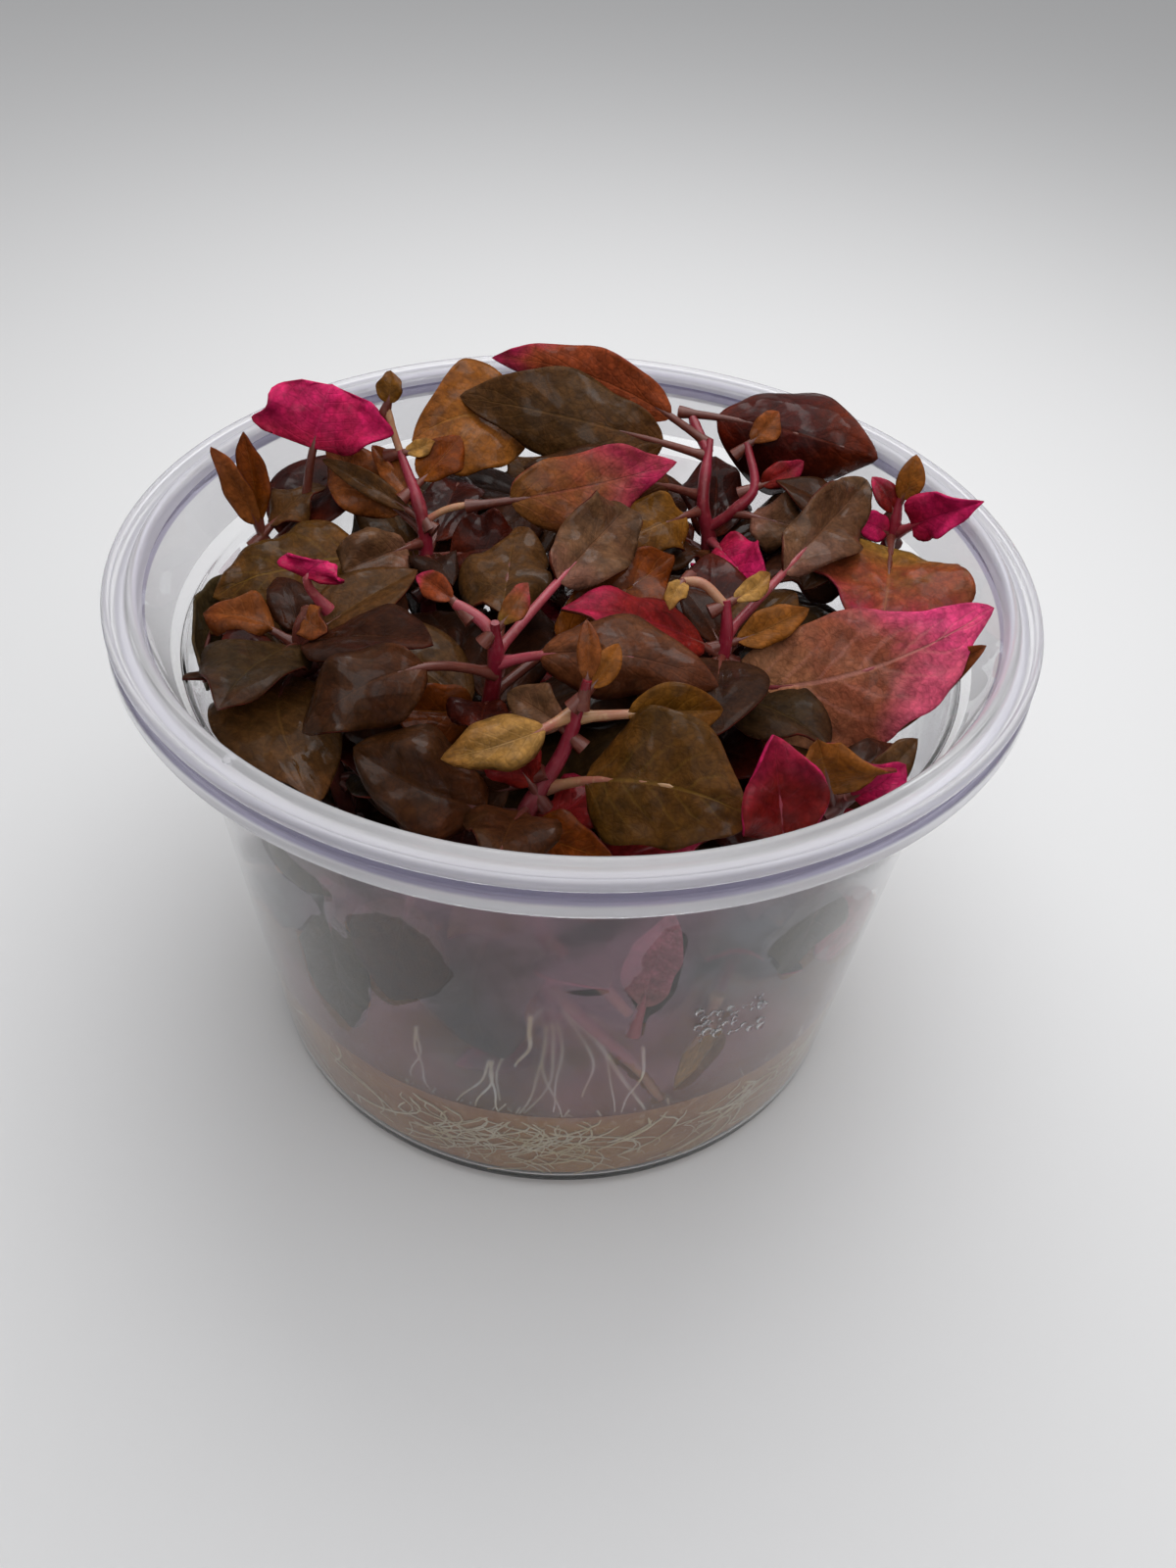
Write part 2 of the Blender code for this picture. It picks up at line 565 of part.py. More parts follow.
class Plantlet:
    """A plantlet in the making: its stem, and what will be joined to the stem."""

    def __init__(self, name, spec, helpers):
        self.name = name
        self.helpers = helpers
        self.crown = spec["stem"][0]
        self.path = smooth_path(spec["stem"], 8)
        stem = [Vector(point) for point in spec["stem"]]
        self.body = tube("stem_body", stem, stem_radii(len(stem)), 6, helpers)
        self.extras = [root_tuft("stem_roots", self.crown, 0.0, helpers)]
        for shoot in spec["shoots"]:
            radii = [BRANCH_RADIUS * (1.0 - 0.1 * index) for index in range(len(shoot))]
            points = [Vector(point) for point in shoot]
            self.extras.append(tube("stem_shoot", points, radii, 4, helpers))
        for foot, tip, width in spec["leaflets"]:
            self.add_leaflet(Vector(foot), Vector(tip), width)
        bpy.context.view_layer.update()
        self.trees = [tree_of(thing) for thing in [self.body, *self.extras]]

    def add_leaflet(self, foot, tip, width):
        bent = Leaf(self.name, 0.0, (), width, "", sway=0.3, fold=0.2)
        shape = leaf_shape(foot, tip, bent, FORWARD, width, 0.6, LEAFLET_RINGS, PLAIN_SECTION)
        self.extras.append(object_from_bmesh("stem_leaflet", shape, self.helpers))

    def seat_at(self, height):
        """The middle of the stem at a height."""
        return min(self.path, key=lambda point: abs(point.z - height))

    def add_lower_leaves(self, others, turn):
        """Grows small crosswise pairs on the lower stem, each leaf as long as its room lets it."""
        pairs = LOWER_PAIRS[:-1] if self.name in OPEN_PLANTLETS else LOWER_PAIRS
        for pair, height in enumerate(pairs):
            foot = self.seat_at(height)
            for half in (0.0, 180.0):
                heading = math.radians(turn + 90.0 * pair + half)
                for length in LOWER_LENGTHS:
                    away = Vector((math.cos(heading), math.sin(heading), 0.35)).normalized()
                    tip = foot + away * length
                    width = length * LOWER_WIDTH_SHARE
                    bent = Leaf(self.name, 0.0, (), width, "", sway=0.3, fold=0.2)
                    near = foot + away * STEM_RADIUS
                    guard = tree_from(
                        leaf_shape(near, tip, bent, UP, width, 0.6, LEAF_RINGS, PLAIN_SECTION, CLEARANCE)
                    )
                    if not any(guard.overlap(other) for other in others):
                        shape = leaf_shape(foot, tip, bent, UP, width, 0.6, LOWER_RINGS, PLAIN_SECTION)
                        grown = object_from_bmesh("stem_leaflet", shape, self.helpers)
                        self.extras.append(grown)
                        self.trees.append(tree_of(grown))
                        break

    def settle(self, collection):
        """Joins everything that grew on the stem to it, in one closed skin."""
        for extra in self.extras:
            union = self.body.modifiers.new("join", "BOOLEAN")
            union.operation = "UNION"
            union.object = extra
            union.solver = "EXACT"
        bpy.context.view_layer.update()
        shape = evaluated_bmesh(self.body)
        bmesh.ops.remove_doubles(shape, verts=shape.verts, dist=0.000002)
        for helper in [self.body, *self.extras]:
            bpy.data.objects.remove(helper, do_unlink=True)
        name = self.name + "_stem"
        material = make_material(name, (0.62, 0.08, 0.22), 0.35)
        return object_from_bmesh(name, shape, collection, material)


def cut_root_pockets(gel, cutters):
    """Opens a pocket in the gel round each root tuft, up past the gel's surface."""
    for name, spec in PLANTLETS.items():
        crown = spec["stem"][0]
        pocket = root_tuft(name + "_pocket", crown, CLEARANCE + 0.1, cutters)
        pocket.display_type = "WIRE"
        pocket.hide_render = True
        cut = gel.modifiers.new(pocket.name, "BOOLEAN")
        cut.operation = "DIFFERENCE"
        cut.object = pocket
        cut.solver = "EXACT"


def tries():
    """Small changes to a leaf's place, the smallest first."""
    ways = itertools.product(TIP_LIFTS, TIP_STEPS, FACE_TURNS, BOW_CHANGES, WIDTH_SHARES)

    def cost(way):
        lift, step, turn, bow, share = way
        return abs(lift) + abs(step) + abs(turn) / 9.0 + abs(bow) + (1.0 - share) * 12.0

    return sorted(ways, key=cost)


def place_leaf(leaf, plantlet, others, ways):
    """The leaf in the first way that clears its own stem and everything placed before."""
    tip = Vector(leaf.tip)
    if isinstance(leaf.seat, tuple):
        foot = Vector(leaf.seat)
    else:
        seat = plantlet.seat_at(leaf.seat)
        reach = tip - seat
        level = Vector((reach.x, reach.y, reach.z * 0.5)).normalized()
        foot = seat + level * (STEM_RADIUS + SEAT_GAP)
    rings = LARGE_RINGS if leaf.width > LARGE_WIDTH else LEAF_RINGS
    section = PLAIN_SECTION if leaf.width < SMALL_WIDTH else FULL_SECTION
    for lift, step, turn, change, share in ways:
        along, side, out = leaf_frame(foot, tip, leaf.face)[1:]
        end = tip + out * lift + side * step
        top = Matrix.Rotation(math.radians(turn), 3, along) @ out
        setting = (foot, end, leaf, top, leaf.width * share, leaf.bow + change)
        guard = tree_from(leaf_shape(*setting, LEAF_RINGS, grow=CLEARANCE))
        if any(guard.overlap(other) for other in others):
            continue
        shape = leaf_shape(*setting, rings, section)
        tree = BVHTree.FromBMesh(shape)
        if not any(tree.overlap(piece) for piece in plantlet.trees):
            return shape, tree
        shape.free()
    return None, None


def build_leaves(collection, fixed, plantlets):
    """Builds the leaves in their order, and returns their clearance trees."""
    ways = tries()
    counts = dict.fromkeys(plantlets, 0)
    placed = []
    for leaf in LEAVES:
        counts[leaf.plantlet] += 1
        name = f"{leaf.plantlet}_leaf_{counts[leaf.plantlet]}"
        own = plantlets[leaf.plantlet]
        others = [tree for other in plantlets.values() if other is not own for tree in other.trees]
        shape, tree = place_leaf(leaf, own, [*fixed, *others, *placed], ways)
        if shape is None:
            raise RuntimeError("no room for " + name)
        placed.append(tree)
        object_from_bmesh(name, shape, collection, make_material(name, TONES[leaf.tone], 0.35))
    return placed


def main():
    clear_scene()
    parts = new_collection("alternanthera_culture_cup")
    cutters = new_collection("cutters", hidden=True)
    cup = build_cup(parts)
    gel = build_gel(parts)
    cut_root_pockets(gel, cutters)
    bpy.context.view_layer.update()
    fixed = [tree_of(cup), tree_of(gel)]
    plantlets = {name: Plantlet(name, spec, cutters) for name, spec in PLANTLETS.items()}
    placed = build_leaves(parts, fixed, plantlets)
    for index, plantlet in enumerate(plantlets.values()):
        others = [tree for other in plantlets.values() if other is not plantlet for tree in other.trees]
        plantlet.add_lower_leaves([*fixed, *placed, *others], 37.0 * index)
    for plantlet in plantlets.values():
        plantlet.settle(parts)


main()
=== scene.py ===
# %% [markdown]
# # A cup of tissue cultured dwarf Alternanthera reineckii
#
# The real thing is an open, tapered plastic cup. Ten small plantlets are rooted in the nutrient
# gel in its foot, and their red, brown and olive leaves crowd out over the rim. The solids of the
# cup, the gel, the stems and the leaves are already there, at their real size. This script
# gives each of them its looks: fine blades with veins, juicy stems, hair roots, cloudy gel and
# a clear wall with breath on its inside.

import json
import math
import random
from types import SimpleNamespace

import bmesh
import bpy
from mathutils import Matrix, Vector, noise
from mathutils.bvhtree import BVHTree

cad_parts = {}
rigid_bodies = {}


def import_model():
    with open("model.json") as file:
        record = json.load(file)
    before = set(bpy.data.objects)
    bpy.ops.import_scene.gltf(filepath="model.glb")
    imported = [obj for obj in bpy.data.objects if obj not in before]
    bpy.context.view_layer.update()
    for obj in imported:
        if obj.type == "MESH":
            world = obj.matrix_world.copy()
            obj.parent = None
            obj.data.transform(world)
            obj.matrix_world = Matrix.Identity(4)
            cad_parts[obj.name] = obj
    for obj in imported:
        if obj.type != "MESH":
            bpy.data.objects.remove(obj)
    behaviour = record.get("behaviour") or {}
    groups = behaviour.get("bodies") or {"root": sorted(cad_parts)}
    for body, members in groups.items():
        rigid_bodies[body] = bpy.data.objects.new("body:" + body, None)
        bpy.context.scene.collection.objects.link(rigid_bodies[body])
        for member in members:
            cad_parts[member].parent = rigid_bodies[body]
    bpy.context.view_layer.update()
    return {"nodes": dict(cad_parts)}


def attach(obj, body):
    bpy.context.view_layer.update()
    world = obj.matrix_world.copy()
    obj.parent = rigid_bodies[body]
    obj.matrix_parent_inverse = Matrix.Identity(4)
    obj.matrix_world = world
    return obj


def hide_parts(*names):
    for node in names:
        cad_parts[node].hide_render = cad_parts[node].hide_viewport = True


for old in list(bpy.data.objects):
    bpy.data.objects.remove(old, do_unlink=True)

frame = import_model()
chance = random.Random(7)
MM = 0.001


def placed(name, data):
    """A new object of the scene with this data."""
    made = bpy.data.objects.new(name, data)
    bpy.context.scene.collection.objects.link(made)
    return made


def finished_mesh(name, shape, materials):
    """Frees the shape into a smooth mesh object with these materials."""
    mesh = bpy.data.meshes.new(name)
    shape.to_mesh(mesh)
    shape.free()
    mesh.shade_smooth()
    for material in materials:
        mesh.materials.append(material)
    return placed(name, mesh)


# %% [markdown]
# ## The camera
#
# The photograph was taken from above and in front, with a phone that was tilted a few degrees.
# A camera can be aimed with a constraint, but its roll is easiest to state as three directions:
# where it looks, what is right, and what is up. They become the columns of its matrix.

# %% Camera
eye = Vector((2.65, -124.13, 142.38)) * MM
ahead = Vector((0.0, 0.7449, -0.6672)).normalized()
level_right = Vector((1.0, 0.0, 0.0))
level_up = level_right.cross(ahead)
roll = math.radians(3.81)
right = level_right * math.cos(roll) + level_up * math.sin(roll)
up = level_up * math.cos(roll) - level_right * math.sin(roll)

camera_data = bpy.data.cameras.new("photo_camera")
camera_data.sensor_width = 36.0
camera_data.lens = 31.5
camera_data.clip_start = 0.005
camera = placed("photo_camera", camera_data)
placing = Matrix((right, up, -ahead)).transposed().to_4x4()
placing.translation = eye
camera.matrix_world = placing
bpy.context.scene.camera = camera
bpy.context.scene.view_settings.view_transform = "Standard"
print("camera looks down by degrees:", round(math.degrees(math.asin(-ahead.z)), 1))

# %% [markdown]
# ## Helpers for shader nodes
#
# A pattern is easier to read as a line of maths than as twenty node links. These helpers add a
# node, link what is given as a socket, and set what is given as a number.

# %% Node helpers


class Value:
    """A socket that can stand in a sum: each operator adds one maths node to its tree."""

    def __init__(self, tree, socket):
        self.tree = tree
        self.socket = socket

    def __add__(self, other):
        return maths("ADD", self, other)

    def __sub__(self, other):
        return maths("SUBTRACT", self, other)

    def __mul__(self, other):
        return maths("MULTIPLY", self, other)

    def __pow__(self, other):
        return maths("POWER", self, other)

    def __abs__(self):
        return maths("ABSOLUTE", self)


def feed(socket, value):
    """Links a value to the socket, or sets a number or a colour on it."""
    if isinstance(value, Value):
        value.tree.links.new(value.socket, socket)
    elif isinstance(value, (tuple, list)):
        socket.default_value = (*value, 1.0)
    else:
        socket.default_value = value


def set_inputs(node, **settings):
    """Feeds inputs by name. Coat_Weight stands for the input Coat Weight."""
    for name, value in settings.items():
        feed(node.inputs[name.replace("_", " ")], value)


def add_node(kind, inputs, output=0, **choices):
    """One output of a new node in the tree that its inputs come from."""
    tree = next(value.tree for value in inputs.values() if isinstance(value, Value))
    node = tree.nodes.new("ShaderNode" + kind)
    for key, choice in choices.items():
        setattr(node, key, choice)
    for key, value in inputs.items():
        feed(node.inputs[key], value)
    return Value(tree, node.outputs[output])


def maths(operation, *values, clamp=False):
    return add_node("Math", dict(enumerate(values)), operation=operation, use_clamp=clamp)


def stretch(value, low, high, out_low=0.0, out_high=1.0):
    """The value moved from one range to another with soft ends."""
    ranges = dict(enumerate((value, low, high, out_low, out_high)))
    return add_node("MapRange", ranges, interpolation_type="SMOOTHSTEP")


def blend(share, first, second, way="MIX"):
    """The first colour with a share of the second."""
    inputs = {0: share, 6: first, 7: second}
    return add_node("Mix", inputs, 2, data_type="RGBA", blend_type=way)


def noise_of(place, scale, detail=3.0, roughness=0.5, distortion=0.0):
    names = ("Vector", "Scale", "Detail", "Roughness", "Distortion")
    values = (place, scale, detail, roughness, distortion)
    return add_node("TexNoise", dict(zip(names, values)), "Fac")


def bump_of(height, strength, distance):
    inputs = {"Height": height, "Strength": strength, "Distance": distance}
    return add_node("Bump", inputs, "Normal")


def part_of(place, axis):
    return add_node("SeparateXYZ", {0: place}, axis)


def object_place(tree):
    return Value(tree, tree.nodes.new("ShaderNodeTexCoord").outputs["Object"])


def new_material(name):
    """A material, the object's own coordinates in its tree, and its shader."""
    material = bpy.data.materials.new(name)
    material.use_nodes = True
    tree = material.node_tree
    return material, object_place(tree), tree.nodes["Principled BSDF"]


print("node helpers ready")

# %% [markdown]
# ## Floor and light
#
# The cup stands on plain white board, which is brightest beside and behind the cup and fades to
# grey away from there. One soft lamp that hangs low over that spot does this: the lower it hangs,
# the tighter its pool of light. A second one over the camera lights the front, and even light from
# all round keeps the shadow under the cup pale.

# %% Floor and light
FLOOR_REACH = 3.0
floor_shape = bmesh.new()
bmesh.ops.create_grid(floor_shape, x_segments=1, y_segments=1, size=FLOOR_REACH)
board, _, shader = new_material("white_board")
set_inputs(shader, Base_Color=(0.80, 0.80, 0.805), Roughness=0.8, Specular_IOR_Level=0.2)
floor = finished_mesh("floor", floor_shape, [board])


def soft_lamp(name, place, aim, size, power):
    data = bpy.data.lights.new(name, "AREA")
    data.shape = "DISK"
    data.size = size
    data.energy = power
    lamp = placed(name, data)
    lamp.location = place
    lamp.rotation_euler = (Vector(aim) - Vector(place)).to_track_quat("-Z", "Y").to_euler()


soft_lamp("overhead_softbox", (0.02, 0.13, 0.26), (0.02, 0.13, 0.0), 0.28, 0.45)
soft_lamp("front_fill", (0.06, -0.20, 0.40), (0.01, -0.13, 0.0), 0.50, 0.80)

world = bpy.data.worlds.new("room")
bpy.context.scene.world = world
world.use_nodes = True
set_inputs(world.node_tree.nodes["Background"], Color=(0.985, 0.99, 1.0), Strength=0.38)

# %% [markdown]
# ## The pattern of a leaf
#
# A leaf of this plant is olive or brown near its stalk and turns rose or magenta towards its
# tip. A pale midrib runs down it, side veins leave the midrib in pairs, and the skin between
# them is a net of tiny cells. Every leaf uses the same pattern with other colours, so it is one
# group. The veins follow the leaf's own map, where U runs across and V from the stalk to the
# tip. The blotches and cells use object coordinates, so that no two leaves have the same ones.

# %% Leaf pattern group
GROUP_SOCKETS = (
    ("INPUT", "Color", ("Base", "Middle", "Tip", "Vein", "Blotch")),
    ("INPUT", "Float", ("Tip Start", "Vein Strength", "Blotch Share", "Crimp")),
    ("OUTPUT", "Color", ("Color",)),
    ("OUTPUT", "Float", ("Height", "Dullness", "Wetness")),
)


def leaf_pattern_group():
    tree = bpy.data.node_groups.new("leaf_pattern", "ShaderNodeTree")
    for way, kind, names in GROUP_SOCKETS:
        for name in names:
            tree.interface.new_socket(name, in_out=way, socket_type="NodeSocket" + kind)
    inlets = tree.nodes.new("NodeGroupInput").outputs
    given = {socket.name: Value(tree, socket) for socket in inlets}
    result = tree.nodes.new("NodeGroupOutput").inputs

    leaf_map = tree.nodes.new("ShaderNodeUVMap")
    leaf_map.uv_map = "leaf"
    uv = Value(tree, leaf_map.outputs[0])
    place = object_place(tree)
    drift = noise_of(place, 130.0, 4.0, 0.6, 0.5)
    speck = noise_of(place, 800.0, 3.0)

    signed = part_of(uv, 0) * 2.0 - 1.0
    across = abs(signed)
    along = part_of(uv, 1)
    shifted = drift * 0.5 + (along - 0.25)

    # The midrib: a line that tapers towards the tip.
    rib = stretch(across, along * -0.045 + 0.07, 0.008)
    # The side veins: they leave the midrib at a slant, those of the two halves in turn.
    half_step = maths("GREATER_THAN", signed, 0.0) * 0.5
    slant = across**1.15 * 0.34
    row = (speck * 0.05 + (along - slant)) * 7.0 + half_step
    near = abs(maths("FRACT", row) - 0.5)
    side = stretch(near, 0.13, 0.02) * stretch(across, 0.9, 0.3)
    veins = maths("MAXIMUM", rib, side * 0.35)
    shown = maths("MULTIPLY", veins, given["Vein Strength"], clamp=True)

    # The skin: cells, finer ones, and soft crosswise crimps.
    net = {"Vector": place, "Scale": 1300.0}
    cells = add_node("TexVoronoi", net, "Distance", feature="DISTANCE_TO_EDGE")
    cell_edge = stretch(cells, 0.0, 0.22)
    fine = noise_of(place, 3800.0, 2.0)
    crimps = noise_of(place, 480.0, 5.0, 0.62, 1.6)

    colour = blend(stretch(shifted, 0.02, 0.42), given["Base"], given["Middle"])
    tip_start = given["Tip Start"]
    tip_share = stretch(across * 0.16 + shifted, tip_start, tip_start + 0.34)
    colour = blend(tip_share, colour, given["Tip"])
    spots = stretch(drift, 0.44, 0.60) * given["Blotch Share"]
    colour = blend(spots, colour, given["Blotch"])
    # Random tone from the specks, plus painted shade: the colour is darker along the cell edges and
    # in the troughs of the crimps, where the bump sinks the skin.
    shade = stretch(speck, 0.25, 0.75) * 0.55 + 0.70
    shade = shade * (cell_edge * 0.16 + 0.87)
    shade = shade * (stretch(crimps, 0.3, 0.7) * 0.36 + 0.80)
    grey = add_node("CombineColor", {0: shade, 1: shade, 2: shade})
    colour = blend(1.0, colour, grey, "MULTIPLY")
    feed(result["Color"], blend(shown, colour, given["Vein"]))

    height = fine * 0.07 + cell_edge * 0.12 + crimps * given["Crimp"] * 1.5
    feed(result["Height"], height - side * 0.2 - rib * 0.45)
    feed(result["Dullness"], drift * 0.6 + (speck * 0.4 - 0.1))
    film = noise_of(place, 210.0, 3.0, 0.55, 1.0)
    feed(result["Wetness"], stretch(film, 0.50, 0.62))
    return tree


leaf_pattern = leaf_pattern_group()
print("leaf pattern nodes:", len(leaf_pattern.nodes))

# %% [markdown]
# ## Leaf finishes
#
# The leaves come in a handful of colourings, from young magenta ones to old olive ones. Their
# skin is waxy and wet from the cup's damp air, so a clear coat lies over a duller skin. The
# undersides are plainer and pinker.

# %% Leaf finishes
# Each colouring: base, middle, tip, veins and blotches, as thousandths of red, green and blue;
# then where the tip's colour starts, how strong the veins show, how much is blotched, how crimped
# the skin is, and how wet it is.
COLOURINGS = """
hero       400 180  85 215  55  27 690  51 175 480 200 160 330 140  70  0.54 0.55 0.3 0.9 0.5
rose       157  53  11 224  51  19 483  25  90 322  76  60 146  66  12  0.52 0.25 0.4 0.4 0.5
blush      224 114  19 224  44  17 299  17  40 269 106  28 134  70  11  0.6 0.3 0.5 0.5 0.5
pink       345  10  40 414  10  70 529  14 100 483  25 110 299   7  30  0.45 0.25 0.45 0.3 0.4
crimson    168  11   6 179   9   9 345  13  50 345  25  50 101   5   2  0.6 0.25 0.45 0.4 0.5
plum       138  41  14  81  23   8  97  25   9 138  41  17 120  44  17  0.7 0.35 0.5 0.6 0.7
slate      170  70  45 100  42  19  76  34  14 162  64  29 133  64  27  0.66 0.4 0.5 0.6 0.7
umber       82  23   7  38  11   3  31  10   2  82  28   8  55  20   6  0.68 0.35 0.5 0.6 0.7
dusk        41  12   4  22   7   3  27   8   3  62  25   9  41  17   8  0.7 0.35 0.5 0.7 0.85
olive      105  39   6  84  33   5 114  42   9 190 101  15  57  25   3  0.7 0.45 0.55 0.9 0.6
moss        99  36   9  77  31   8  84  31   9 138  64  16  48  22   6  0.75 0.35 0.55 0.8 0.6
rust       224  66  14 202  55  12 190  44  10 280  97  25 112  28   6  0.65 0.3 0.55 0.5 0.5
ember      224  44  11 224  41  12 460  14  85 291  75  25 146  26   6  0.72 0.25 0.5 0.5 0.5
amber      173  44   3 130  26   2 147  28   2 246  79  10  74  14   1  0.65 0.35 0.5 0.5 0.5
maroon      78  11   4  31   4   2  67   7   2 101  18   6  18   2   1  0.6 0.35 0.55 0.6 0.8
gold       280 101  19 235  77  11 224  70  11 336 150  31 146  44   6  0.6 0.35 0.5 0.5 0.5
brass      224  88  12 151  58   6 134  44   5 269 123  25  90  32   4  0.62 0.4 0.55 0.5 0.5
cream      448 238  68 336 167  40 246 106  22 515 290  99 179  70  14  0.65 0.6 0.45 0.5 0.4
shade       62  16   6  34  10   4  47  11   4  67  26   9  20   6   2  0.65 0.3 0.5 0.5 0.4
shade_green 56  26   7  36  18   6  45  16   6  78  44  12  22  11   4  0.65 0.3 0.5 0.5 0.4
wall_green  61  37  14  48  30  11  53  30  12  73  44  17  36  23   9  0.65 0.35 0.5 0.3 0.1
wall_brown  73  31  13  56  23  10  61  23  11  84  35  15  42  17   7  0.65 0.35 0.5 0.3 0.1
under      246  53  28 224  35  25 368  30  80 345  85  80 168  35  17  0.6 0.35 0.4 0.4 0.2
under_dark  95  21  10  78  18   9  95  16  10 134  40  19  50  11   6  0.6 0.35 0.4 0.4 0.3
dusty      300 100 100 330 100 130 420 130 170 400 150 170 240  70  80  0.5 0.3 0.45 0.4 0.1
mahogany   104  10   3  51   4   2 133  18   4 125  20   6  30   3   1  0.6 0.35 0.55 0.5 0.8
"""


def leaf_finish(name, numbers):
    material, place, shader = new_material("leaf_" + name)
    values = [float(number) for number in numbers]
    colours = [[part / 1000 for part in values[first : first + 3]] for first in range(0, 15, 3)]
    pattern = place.tree.nodes.new("ShaderNodeGroup")
    pattern.node_tree = leaf_pattern
    for socket, value in zip(pattern.inputs, colours + values[15:19]):
        feed(socket, value)
    wet = values[19]
    made = {socket.name: Value(place.tree, socket) for socket in pattern.outputs}
    set_inputs(
        shader,
        Base_Color=made["Color"],
        Roughness=stretch(made["Dullness"], 0.0, 0.7, 0.36, 0.66),
        Coat_Weight=made["Wetness"] * (0.42 * wet) + 0.12 * wet,
        Coat_Roughness=0.09,
        Specular_IOR_Level=0.05,
        Normal=bump_of(made["Height"], 0.6, 0.00030),
    )
    return material


finishes = {}
for row in COLOURINGS.strip().splitlines():
    name, *numbers = row.split()
    finishes[name] = leaf_finish(name, numbers)
print("leaf finishes:", len(finishes))

# %% [markdown]
# ## Reading a leaf back from its solid
#
# Each leaf's solid is a coarse cage: a few rings of points between a point at the foot and one at
# the tip. The fine blade must lie in that cage, so its place is read from there. The rings give
# the midrib's curve, the leaf's width, how far its halves are folded, and how long the stalk is.

# %% Leaf cages
RISE = 0.55
FALL = 0.66
WIDEST = RISE / (RISE + FALL)
PEAK = WIDEST**RISE * (1.0 - WIDEST) ** FALL


def blade_share(share):
    """The blade's half width at a share of its length, as a share of the widest."""
    return share**RISE * (1.0 - share) ** FALL / PEAK


class Cage:
    """What a leaf's solid says about the leaf: its curve, width, fold and stalk."""

    def __init__(self, foot, tip):
        self.foot = foot
        self.length = (tip - foot).length
        self.along = (tip - foot).normalized()

    def midrib(self, t):
        return self.foot + self.along * (self.length * t) + self.bend * (4.0 * t * (1.0 - t))


def rings_of(shape):
    """The cage's rings from the foot to the tip. The foot is the point with only short edges."""

    def longest_edge(vertex):
        return max(edge.calc_length() for edge in vertex.link_edges)

    foot = min(shape.verts, key=longest_edge)
    rings = [[foot]]
    seen = {foot}
    while rings[-1]:
        after = {edge.other_vert(vertex) for vertex in rings[-1] for edge in vertex.link_edges}
        after -= seen
        seen |= after
        rings.append(list(after))
    return [[vertex.co.copy() for vertex in ring] for ring in rings[:-1]]


def read_cage(node):
    shape = bmesh.new()
    shape.from_mesh(node.data)
    bmesh.ops.remove_doubles(shape, verts=shape.verts, dist=0.00001)
    rings = rings_of(shape)
    shape.free()

    def margins(ring):
        pairs = ((first, second) for first in ring for second in ring)
        return max(pairs, key=lambda pair: (pair[0] - pair[1]).length)

    cage = Cage(rings[0][0], rings[-1][0])
    widest = max(rings[2:-1], key=lambda ring: (margins(ring)[0] - margins(ring)[1]).length)
    near, far = margins(widest)
    cage.side = (far - near - (far - near).dot(cage.along) * cage.along).normalized()
    inner = [point for point in widest if point not in (near, far)]
    inner.sort(key=lambda point: point.dot(cage.side))
    # Of the points between the margins, those of the leaf's top spread a little wider.
    out = cage.side.cross(cage.along)
    if len(inner) > 2:
        top_is_out = (inner[0] + inner[-1] - inner[1] - inner[-2]).dot(out) > 0
    else:
        top_is_out = out.dot(Vector((0.0, -0.6, 0.8))) > 0
    if not top_is_out:
        cage.side.negate()
    cage.out = cage.side.cross(cage.along)
    centre = (inner[len(inner) // 2 - 1] + inner[len(inner) // 2]) / 2
    t = (centre - cage.foot).dot(cage.along) / cage.length
    cage.bend = (centre - cage.foot - cage.along * (cage.length * t)) / (4.0 * t * (1.0 - t))
    half = (far - near).length / 2
    cage.fold = ((near + far) / 2 - centre).dot(cage.out) / half
    first_share = 0.07 if len(rings) == 8 else 0.09
    first = (sum(rings[2], Vector()) / len(rings[2]) - cage.foot).dot(cage.along) / cage.length
    cage.stalk = (first - first_share) / (1.0 - first_share)
    cage.width = 2.0 * half / blade_share((t - cage.stalk) / (1.0 - cage.stalk))
    return cage


cages = {name: read_cage(node) for name, node in frame["nodes"].items() if "_leaf_" in name}
for name in ("right_leaf_1", "centre_leaf_1", "front_leaf_1"):
    cage = cages[name]
    print(name, "mm long", round(cage.length / MM, 1), "wide", round(cage.width / MM, 1),
          "stalk", round(cage.stalk, 2), "fold", round(cage.fold, 2))

# %% [markdown]
# ## Growing a blade
#
# A blade is a flat grid of faces that is laid along the midrib, and its two ends close into
# points. The halves are arched between midrib and margin, the skin is crumpled by a soft noise, the
# margin waves, and the tip may curl. No two margins of a real leaf are the same, so each side
# has its own small changes of width. The sheet is then given its thickness. A stalk, which is a
# tapering tube, runs from the stem under the blade almost to its tip.
#
# A lively blade could cut through its neighbours. Each sheet is tested against those that stand
# already, and grown again with less life until it is clear of them. The last try, a blade as plain
# as its solid, is taken without a test, so a few sheets do cross. The stalks are not tested.

# %% Blades and stalks
BLADE_THICKNESS = 0.28 * MM
SMALL_THICKNESS = 0.26 * MM
LIVELINESS = (1.4, 1.0, 0.7, 0.4, 0.2, 0.0)


# A plain leaf. Lengths are millimetres, turns are degrees.
PLAIN_LOOK = {
    "under": "under_dark", "stalk": "stalk_dark", "arch": 0.18, "wave": 0.75, "waves": 1.7,
    "curl": 0.0, "twist": 0.0, "droop": 0.0, "rolled": 0.0, "widen": 1.14, "crumple": 0.7,
    "blunt": 0.0, "pointed": 0.5, "margins": None,
}
VEIN_DEPTH = 0.09 * MM


def look_of(top, **own):
    """How one leaf differs from a plain one."""
    return SimpleNamespace(top=top, **{**PLAIN_LOOK, **own})


def vein_depth(signed, share):
    """From 0 to 1: how near a point of the blade is to a side vein."""
    across = abs(signed)
    row = (share - 0.34 * across**1.15) * 7.0 + (0.5 if signed > 0 else 0.0)
    near = abs(row % 1.0 - 0.5)
    return math.exp(-((near / 0.16) ** 2)) * max(0.0, 1.0 - across**3)


